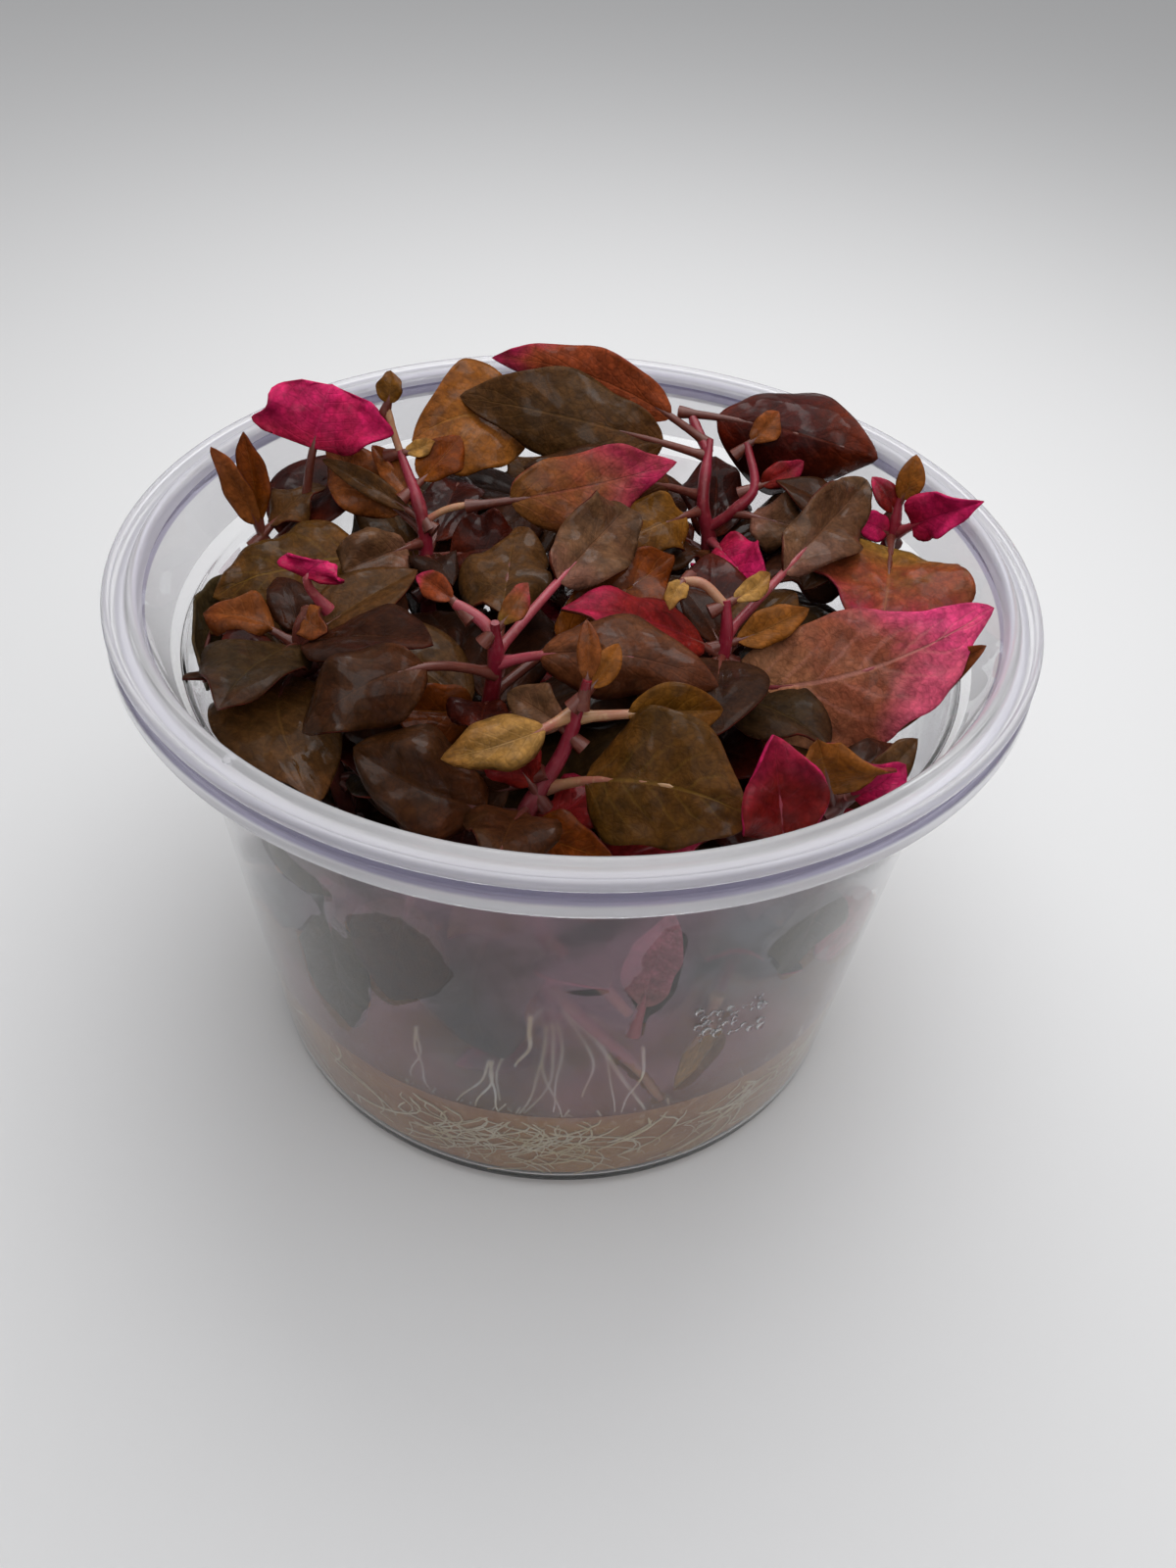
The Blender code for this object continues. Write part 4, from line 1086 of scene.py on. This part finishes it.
def filling_leaves(name, number, path):
    """Small leaves between the pairs, each one as long as there is still room for."""
    pieces = []
    heights = SIDE_HEIGHTS if name in SIDE_PLANTLETS else FILL_HEIGHTS
    for level, height in enumerate(heights):
        foot = min(path, key=lambda point: abs(point.z - height * MM))
        for fifth in range(5):
            heading = math.radians(37.0 * number + 72.0 * fifth + 31.0 * level + 20.0)
            steep = 0.22 + 0.12 * (fifth % 3)
            away = Vector((math.cos(heading), math.sin(heading), steep)).normalized()
            colour = FILL_COLOURS[(number + 2 * fifth + 3 * level) % len(FILL_COLOURS)]
            look = look_of(colour, **FILLING_LOOK)
            for length in FILL_LENGTHS:
                tip = foot + away * length * MM
                cage = small_cage(foot, tip, FILL_WIDTH_SHARE * length * MM, UPWARD, 0.8 * MM)
                shape = blade_sheet(cage, look, 0.31 * fifth, 0.8, 0.0)
                tree = BVHTree.FromBMesh(shape)
                shape.free()
                if not any(tree.overlap(other) for other in standing):
                    pieces += small_leaf(cage, look, 0.31 * fifth, 0.8)
                    break
    return pieces


plantlet_pieces = {}
for number, name in enumerate(PLANTLETS):
    plantlet_pieces[name] = own_leaves(name, number, smooth_path(PLANTLETS[name]["stem"]))
for number, name in enumerate(PLANTLETS):
    more = filling_leaves(name, number, smooth_path(PLANTLETS[name]["stem"]))
    print(name, "own leaves:", len(plantlet_pieces[name]) // 2, "filling leaves:", len(more) // 2)
    made = joined(name + "_plantlet", plantlet_rods[name] + plantlet_pieces[name] + more)
    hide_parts(name + "_stem")
    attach(made, "root")
print("calmed blades:", sum(life < 1.0 for life in calmed), "flat:", calmed.count(0.0))

# %% [markdown]
# ## The gel
#
# The nutrient gel is cloudy and tan, a little wavy on top, and it creeps up the wall. It is
# turned from a profile, as the cup is. Light passes through it but nothing stays sharp, so it is
# a rough transmitting body. Its bump comes from the roots that crowd against the wall.

# %% Gel
# Radii and heights of the cup in millimetres.
RIM = 48.5
TOP = 63.9
LIP = 45.1
SHOULDER = 42.6
SHOULDER_HEIGHT = 56.6
WALL_TOP = 42.3
WALL_BASE = 36.5
WALL = 1.0
GEL_TOP = 14.4


def wall_radius(height):
    share = (height - 2.0) / (SHOULDER_HEIGHT - 2.0)
    return WALL_BASE + (WALL_TOP - WALL_BASE) * share


def turned(name, profile, materials, steps=192):
    """A body turned about Z from a profile of (radius, height, material), outside first."""
    shape = bmesh.new()
    points = [shape.verts.new((radius * MM, 0.0, height * MM)) for radius, height, _ in profile]
    edges = [shape.edges.new(pair) for pair in zip(points, points[1:])]
    bmesh.ops.spin(shape, geom=points + edges, cent=(0.0, 0.0, 0.0), axis=(0.0, 0.0, 1.0),
                   dvec=(0.0, 0.0, 0.0), angle=math.tau, steps=steps, use_merge=True)
    bmesh.ops.remove_doubles(shape, verts=shape.verts, dist=0.000004)
    bmesh.ops.recalc_face_normals(shape, faces=shape.faces)
    shape.verts.ensure_lookup_table()
    bands = [((a[0] + b[0]) / 2, (a[1] + b[1]) / 2, a[2]) for a, b in zip(profile, profile[1:])]
    for face in shape.faces:
        middle = face.calc_center_median() / MM
        radius = math.hypot(middle.x, middle.y)
        nearest = min(bands, key=lambda band: (band[0] - radius) ** 2 + (band[1] - middle.z) ** 2)
        face.material_index = nearest[2]
    made = finished_mesh(name, shape, materials)
    made.data.set_sharp_from_angle(angle=math.radians(40))
    return made


gel_material, place, shader = new_material("nutrient_gel")
clouds = noise_of(place, 90.0, 4.0, 0.6, 0.6)
strands = noise_of(place, 420.0, 3.0, 0.55, 2.4)
colour = blend(stretch(clouds, 0.34, 0.66), (0.40, 0.140, 0.022), (0.52, 0.240, 0.060))
set_inputs(
    shader,
    Base_Color=blend(stretch(strands, 0.55, 0.70, 0.0, 0.40), colour, (0.76, 0.52, 0.27)),
    Normal=bump_of(strands, 0.5, 0.0006),
    Transmission_Weight=0.20,
    Roughness=0.35,
    IOR=1.34,
)

floor_height = WALL + 0.3
gel_profile = [
    (0.0, GEL_TOP, 0),
    (12.0, GEL_TOP - 0.1, 0),
    (24.0, GEL_TOP, 0),
    (wall_radius(GEL_TOP) - 5.0, GEL_TOP + 0.05, 0),
    (wall_radius(GEL_TOP) - 2.6, GEL_TOP + 0.4, 0),
    (wall_radius(GEL_TOP) - 1.7, GEL_TOP + 0.85, 0),
    (wall_radius(GEL_TOP + 1.2) - 1.32, GEL_TOP + 1.2, 0),
    (wall_radius(9.0) - 1.32, 9.0, 0),
    (wall_radius(3.2) - 1.32, 3.2, 0),
    (wall_radius(2.0) - 1.9, floor_height + 0.6, 0),
    (wall_radius(2.0) - 3.2, floor_height, 0),
    (0.0, floor_height, 0),
]
gel = turned("gel_bed", gel_profile, [gel_material], 128)
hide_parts("gel")
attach(gel, "root")
print("gel faces:", len(gel.data.polygons))

# %% [markdown]
# ## Roots
#
# White roots as fine as hair leave each crown, run out through the gel and turn along the wall.
# A few thicker ones hang in the air above the gel. Each is a thin rod with a wandering path.

# %% Roots
root_material, place, shader = new_material("root_skin")
tone = stretch(noise_of(place, 300.0, 2.0), 0.35, 0.65)
colour = blend(tone, (0.74, 0.60, 0.36), (0.92, 0.87, 0.74))
# Those in the gel look tan through it.
deep = stretch(part_of(place, 2), 0.0165, 0.0130, 0.0, 0.5)
set_inputs(shader, Base_Color=blend(deep, colour, (0.70, 0.52, 0.26)), Roughness=0.4)


def round_place(radius, angle, height):
    return Vector((radius * math.cos(angle), radius * math.sin(angle), height)) * MM


def root_path(crown, heading, reach, depth):
    """A root's way: out and down from the crown, held inside the cup's foot."""
    points = []
    swerve = chance.uniform(-0.8, 0.8)
    for step in range(12):
        share = step / 11
        angle = heading + swerve * share + 0.22 * math.sin(7.0 * share + 5.0 * heading)
        out = reach * share**0.85
        x = crown[0] + out * math.cos(angle)
        y = crown[1] + out * math.sin(angle)
        z = 14.0 - (14.0 - depth) * share**0.7 + 0.5 * math.sin(9.0 * share + heading)
        limit = wall_radius(max(z, 3.0)) - 1.18
        radius = math.hypot(x, y)
        if radius > limit:
            x, y = x * limit / radius, y * limit / radius
        points.append(Vector((x, y, max(z, 1.7))) * MM)
    return points


def wall_root_path(crown, spread, depth):
    """A root that comes out at the wall beside the crown, and wanders down between gel and wall."""
    start = math.atan2(crown[1], crown[0]) + chance.uniform(-0.32, 0.32)
    top = chance.uniform(12.5, 16.2)
    sway = chance.uniform(0.0, math.tau)
    points = []
    for step in range(14):
        share = step / 13
        angle = start + 0.10 * math.sin(sway) + spread * share**1.3
        angle += 0.06 * math.sin(8.0 * share + sway)
        z = top - (top - depth) * share**0.8 + 0.7 * math.sin(10.0 * share + sway)
        radius = wall_radius(max(z, 3.0)) - 1.16
        if share < 0.12:
            radius -= 9.0 * (0.12 - share)
        points.append(round_place(radius, angle, max(z, 2.6)))
    return points


def root_set(crown, count, wall_count):
    pieces = []
    for index in range(count):
        heading = math.tau * (index + chance.random()) / count
        path = root_path(crown, heading, chance.uniform(8.0, 24.0), chance.uniform(1.8, 10.0))
        radii = [0.16 * MM * (1.0 - 0.55 * step / 11) for step in range(12)]
        pieces.append(rod("root_rod", path, radii, root_material, 4))
    for index in range(wall_count):
        path = wall_root_path(crown, chance.uniform(-0.34, 0.34), chance.uniform(2.6, 8.0))
        thick = chance.uniform(0.08, 0.17) * MM
        radii = [thick * (1.0 - 0.4 * step / 13) for step in range(14)]
        pieces.append(rod("root_rod", path, radii, root_material, 4))
    return pieces


# How many roots of each plantlet come out at the wall.
WALL_ROOTS = {"front": 40, "front_right": 20, "left": 20, "far_left": 12, "right": 6,
              "right_back": 8, "back": 8}
OTHER_WALL_ROOTS = 4
GEL_ROOTS = 12
root_pieces = []
for name, spec in PLANTLETS.items():
    wall_count = WALL_ROOTS.get(name, OTHER_WALL_ROOTS)
    root_pieces += root_set(spec["stem"][0], GEL_ROOTS, wall_count)

# The roots that hang in the air: where they start and end, how far they bow, and their radius.
HANGING = (
    ((0.0, -29.5, 27.0), (-1.5, -35.7, 15.0), 1.6, 0.20),
    ((0.6, -29.5, 27.0), (0.8, -36.4, 16.5), 1.0, 0.17),
    ((0.2, -29.4, 26.0), (2.2, -36.2, 15.0), -1.2, 0.20),
    ((1.0, -29.8, 28.0), (4.5, -35.8, 19.0), 1.8, 0.20),
    ((1.2, -30.2, 29.0), (11.6, -34.5, 12.5), 1.2, 0.32),
    ((0.4, -29.8, 29.0), (-5.0, -35.5, 17.0), -1.5, 0.18),
    ((0.8, -29.6, 30.0), (7.4, -35.5, 16.0), 2.2, 0.17),
    ((-0.4, -29.6, 25.0), (-3.4, -35.9, 13.6), 1.4, 0.20),
    ((-5.6, -34.6, 23.0), (-7.4, -35.2, 15.0), 0.8, 0.22),
    ((-5.4, -34.6, 23.0), (-4.0, -35.9, 14.4), -0.6, 0.20),
    ((-5.8, -34.6, 23.0), (-10.0, -34.4, 14.0), 0.9, 0.18),
    ((-1.6, -36.2, 33.0), (-2.6, -36.0, 24.0), 0.5, 0.30),
    ((-13.6, -33.0, 26.0), (-14.4, -32.6, 16.5), 0.7, 0.16),
    ((-13.4, -33.0, 26.0), (-12.0, -33.2, 15.0), -0.7, 0.18),
    ((10.0, -34.6, 27.0), (8.2, -35.0, 15.5), 0.9, 0.20),
)
for start, end, bow, radius in HANGING:
    first, last = Vector(start), Vector(end)
    aside = Vector((bow, -0.8, 0.9))
    path = []
    for step in range(12):
        share = step / 11
        wander = Vector((0.45 * math.sin(9.0 * share + 5.0 * bow), 0.0, 0.0)) * share
        path.append((first.lerp(last, share) + aside * (4.0 * share * (1.0 - share)) + wander) * MM)
    radii = [radius * MM * (1.0 - 0.55 * step / 11) for step in range(12)]
    root_pieces.append(rod("root_rod", path, radii, root_material, 6))
roots = joined("hair_roots", root_pieces)
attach(roots, "root")
print("roots:", len(root_pieces), "faces:", len(roots.data.polygons))

# %% [markdown]
# ## The cup
#
# The cup is thin, clear plastic, pressed into a tapered tub with a shoulder, a flat flange and a
# ribbed skirt round it. Its profile is drawn once and turned. Each corner is cut to a small
# radius first, because a sharp corner catches no light. Its inside is fogged with breath, and
# clear where a wet leaf lies against it. So each point of the inner wall keeps, as an attribute,
# how far straight behind it a leaf is, and the finish turns that into rough and smooth.

# %% Cup
CONTACT = 2.3
# A little under that of the solid plastic, so that the pale floor veils the leaves less.
WALL_IOR = 1.38


def rounded(profile, radius):
    """The profile with each inner corner cut back by a radius and given a point in between."""
    soft = [profile[0]]
    for before, here, after in zip(profile, profile[1:], profile[2:]):
        corner = Vector(here[:2])
        ends = []
        for other in (before, after):
            way = Vector(other[:2]) - corner
            ends.append(corner + way.normalized() * min(radius, 0.35 * way.length))
        middle = (ends[0] + ends[1] + corner * 2.0) / 4.0
        soft.append((*ends[0], before[2]))
        soft.append((*middle, here[2]))
        soft.append((*ends[1], here[2]))
    soft.append(profile[-1])
    return soft


def clear_body(name, colour, roughness, transmission, ior=WALL_IOR, groove=None):
    """Clear plastic or water with faint smears. The skirt's groove can be given painted shade, a
    darker lavender colour.
    """
    material, place, shader = new_material(name)
    smears = noise_of(place, 60.0, 3.0, 0.55, 0.8)
    tint = blend(stretch(smears, 0.3, 0.7), colour, [min(1.0, part * 1.03) for part in colour])
    if groove:
        # Painted shade: over the groove's band of height the colour is made darker and lavender.
        height = part_of(place, 2)
        within = stretch(height, 0.06095, 0.06120) * stretch(height, 0.06265, 0.06235)
        tint = blend(within, tint, groove)
    set_inputs(
        shader,
        Base_Color=tint,
        Roughness=stretch(smears, 0.35, 0.7, roughness * 0.8, roughness * 1.25),
        Transmission_Weight=transmission,
        IOR=ior,
    )
    return material


def breath_on(place):
    """From 0, where a leaf lies against the wall, to 1 for breath; and the noise at its edge."""
    wobble = noise_of(place, 260.0, 3.0, 0.55, 0.6)
    gap = place.tree.nodes.new("ShaderNodeAttribute")
    gap.attribute_name = "leaf_gap"
    apart = wobble * 0.9 + (Value(place.tree, gap.outputs["Fac"]) - 0.45)
    return stretch(apart, CONTACT - 0.05, CONTACT + 0.12), wobble


CLEAR = (0.97, 0.97, 0.985)
outer_skin = clear_body("cup_outer", CLEAR, 0.04, 1.0)
# Painted shade: the groove in the skirt is in shade, so its plastic is coloured darker and lavender
# there.
rim_skin = clear_body("cup_rim", (0.94, 0.935, 0.96), 0.14, 0.64, groove=(0.38, 0.355, 0.51))
fogged_skin, place, shader = new_material("cup_inner_fog")
set_inputs(
    shader,
    Base_Color=CLEAR,
    Transmission_Weight=1.0,
    IOR=WALL_IOR,
    Roughness=breath_on(place)[0] * 0.17 + 0.03,
)

skirt_foot = TOP - 4.4
cup_profile = [
    (0.0, WALL, 0),
    (wall_radius(2.0) - WALL - 1.6, WALL, 0),
    (wall_radius(3.0) - WALL, WALL + 1.6, 0),
    (wall_radius(SHOULDER_HEIGHT) - WALL, SHOULDER_HEIGHT - 1.2, 0),
    (SHOULDER, SHOULDER_HEIGHT, 0),
    (LIP - 0.5, TOP - 1.3, 2),
    (LIP - 0.1, TOP - 0.35, 2),
    (LIP + 0.25, TOP, 2),
    (LIP + 0.75, TOP - 0.02, 2),
    (LIP + 1.05, TOP - 0.35, 2),
    (RIM - 0.95, TOP - 0.40, 2),
    (RIM - 0.70, TOP - 0.10, 2),
    (RIM - 0.30, TOP - 0.15, 2),
    (RIM - 0.05, TOP - 0.50, 2),
    (RIM - 0.10, TOP - 1.20, 2),
    (RIM - 0.55, TOP - 1.45, 2),
    (RIM - 0.60, TOP - 2.55, 2),
    (RIM - 0.10, TOP - 2.85, 2),
    (RIM, TOP - 3.85, 2),
    (RIM - 0.25, skirt_foot, 2),
    (RIM - 0.95, skirt_foot, 2),
    (RIM - 1.35, TOP - 1.55, 2),
    (LIP + 1.10, TOP - 1.40, 2),
    (LIP + 0.45, TOP - 2.20, 2),
    (SHOULDER + 0.9, SHOULDER_HEIGHT - 0.6, 0),
    (WALL_TOP, SHOULDER_HEIGHT - 1.8, 0),
    (wall_radius(2.0), 2.0, 0),
    (wall_radius(2.0) - 1.8, 0.0, 0),
    (0.0, 0.0, 0),
]


def filled_in(profile, step):
    """The profile with the inner wall's long edge cut into short ones of the fogged material."""
    full = []
    for here, after in zip(profile, profile[1:]):
        full.append(here)
        rise = after[1] - here[1]
        if rise > 20.0:
            full[-1] = (here[0], here[1], 1)
            count = round(rise / step)
            for index in range(1, count):
                share = index / count
                full.append((here[0] + (after[0] - here[0]) * share, here[1] + rise * share, 1))
    full.append(profile[-1])
    return full


CUP_STEPS = 288
cup_profile = filled_in(rounded(cup_profile, 0.22), 0.8)
cup = turned("clear_cup", cup_profile, [outer_skin, fogged_skin, rim_skin], CUP_STEPS)
print("cup faces:", len(cup.data.polygons))

# %% [markdown]
# ## Breath, droplets and the moulding mark
#
# The fog itself is a skin of tiny water beads, which also scatters some light and looks milky. It
# is a thin shell just inside the wall whose alpha fades where a leaf touches. Larger beads
# that have run together stand on the wall at the front. The flange has a small
# round mark where the plastic was moulded.

# %% Fog, droplets and mark
FAR_GAP = 3.4
LOWEST_FOG = 9.5
HIGHEST_FOG = 54.6
FILM_STEPS = 54
BEADS = 44


def leaf_tree():
    """One tree of the faces of all leaves and stems."""
    corners, faces = [], []
    for thing in bpy.data.objects:
        if thing.name.endswith(("_grown", "_plantlet")):
            first = len(corners)
            corners += [vertex.co for vertex in thing.data.vertices]
            faces += [[first + corner for corner in face.vertices] for face in thing.data.polygons]
    return BVHTree.FromPolygons(corners, faces)


def leaf_distances(thing, tree, lowest):
    """Keeps on each vertex how far behind the wall a leaf is, in millimetres, as leaf_gap."""
    gaps = []
    for vertex in thing.data.vertices:
        co = vertex.co
        height = co.z / MM
        gap = FAR_GAP if height > lowest else 0.0
        off_wall = math.hypot(co.x, co.y) / MM - wall_radius(height) + WALL
        if lowest < height < 57.0 and abs(off_wall) < 0.25:
            inward = Vector((-co.x, -co.y, 0.0)).normalized()
            hit = tree.ray_cast(co, inward, FAR_GAP * MM)
            if hit[0] is not None:
                gap = hit[3] / MM
        gaps.append(gap)
    # Each is then smoothed with its neighbours.
    sums, counts = list(gaps), [1] * len(gaps)
    for edge in thing.data.edges:
        one, other = edge.vertices
        if gaps[one] and gaps[other]:
            sums[one] += gaps[other]
            sums[other] += gaps[one]
            counts[one] += 1
            counts[other] += 1
    gaps = [total / count for total, count in zip(sums, counts)]
    layer = thing.data.attributes.new("leaf_gap", "FLOAT", "POINT")
    layer.data.foreach_set("value", gaps)
    return sum(0.0 < gap < CONTACT for gap in gaps)


leaves_behind = leaf_tree()
print("cup points touched by leaves:", leaf_distances(cup, leaves_behind, 16.0))

film_material, place, shader = new_material("breath_film")
pinkness = stretch(noise_of(place, 38.0, 2.0), 0.40, 0.58)
film_on, wobble = breath_on(place)
patches = stretch(noise_of(place, 75.0, 4.0, 0.6, 0.4), 0.35, 0.62, 0.06, 0.18)
# It thins out downward, over the gel.
fade = stretch(wobble * 0.006 + part_of(place, 2), 0.0165, 0.0230)
set_inputs(
    shader,
    Base_Color=blend(pinkness, (0.68, 0.68, 0.78), (0.82, 0.44, 0.58)),
    Roughness=0.6,
    Alpha=film_on * patches * fade,
)
film_profile = []
for index in range(FILM_STEPS + 1):
    height = LOWEST_FOG + (HIGHEST_FOG - LOWEST_FOG) * index / FILM_STEPS
    film_profile.append((wall_radius(height) - WALL - 0.05, height, 0))
film = turned("breath_film", film_profile, [film_material], CUP_STEPS)
shell = film.modifiers.new("thickness", "SOLIDIFY")
shell.thickness = 0.02 * MM
shell.offset = 0.0
film = applied(film)
leaf_distances(film, leaves_behind, 9.0)
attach(film, "root")

water = clear_body("water_bead", (0.99, 0.99, 1.0), 0.02, 1.0, ior=1.33)
bead_pieces = []
for index in range(BEADS):
    angle = math.radians(chance.uniform(-69.0, -53.0))
    height = 31.5 + chance.uniform(-3.5, 3.5) + 4.0 * math.sin(3.0 * angle)
    size = chance.uniform(0.16, 0.46) * (1.0 if index % 4 else 1.35)
    radius = wall_radius(height) + 0.35 * size
    shape = bmesh.new()
    bmesh.ops.create_uvsphere(shape, u_segments=14, v_segments=9, radius=size * MM)
    flat = Matrix.Diagonal((0.5, 1.0, 1.08, 1.0))
    turn = Matrix.Rotation(angle, 4, "Z")
    spot = Matrix.Translation(round_place(radius, angle, height))
    shape.transform(spot @ turn @ flat)
    bead_pieces.append(finished_mesh("bead", shape, [water]))
beads = joined("water_beads", bead_pieces)
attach(beads, "root")

shape = bmesh.new()
bmesh.ops.create_uvsphere(shape, u_segments=20, v_segments=12, radius=0.62 * MM)
spot = Matrix.Translation(Vector((-28.36, -36.06, TOP - 0.42)) * MM)
shape.transform(spot @ Matrix.Diagonal((1.0, 1.0, 0.6, 1.0)))
mark = finished_mesh("moulding_mark", shape, [rim_skin])
cup = joined("clear_cup", [cup, mark])
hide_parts("cup")
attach(cup, "root")
print("beads:", len(bead_pieces), "film faces:", len(film.data.polygons))
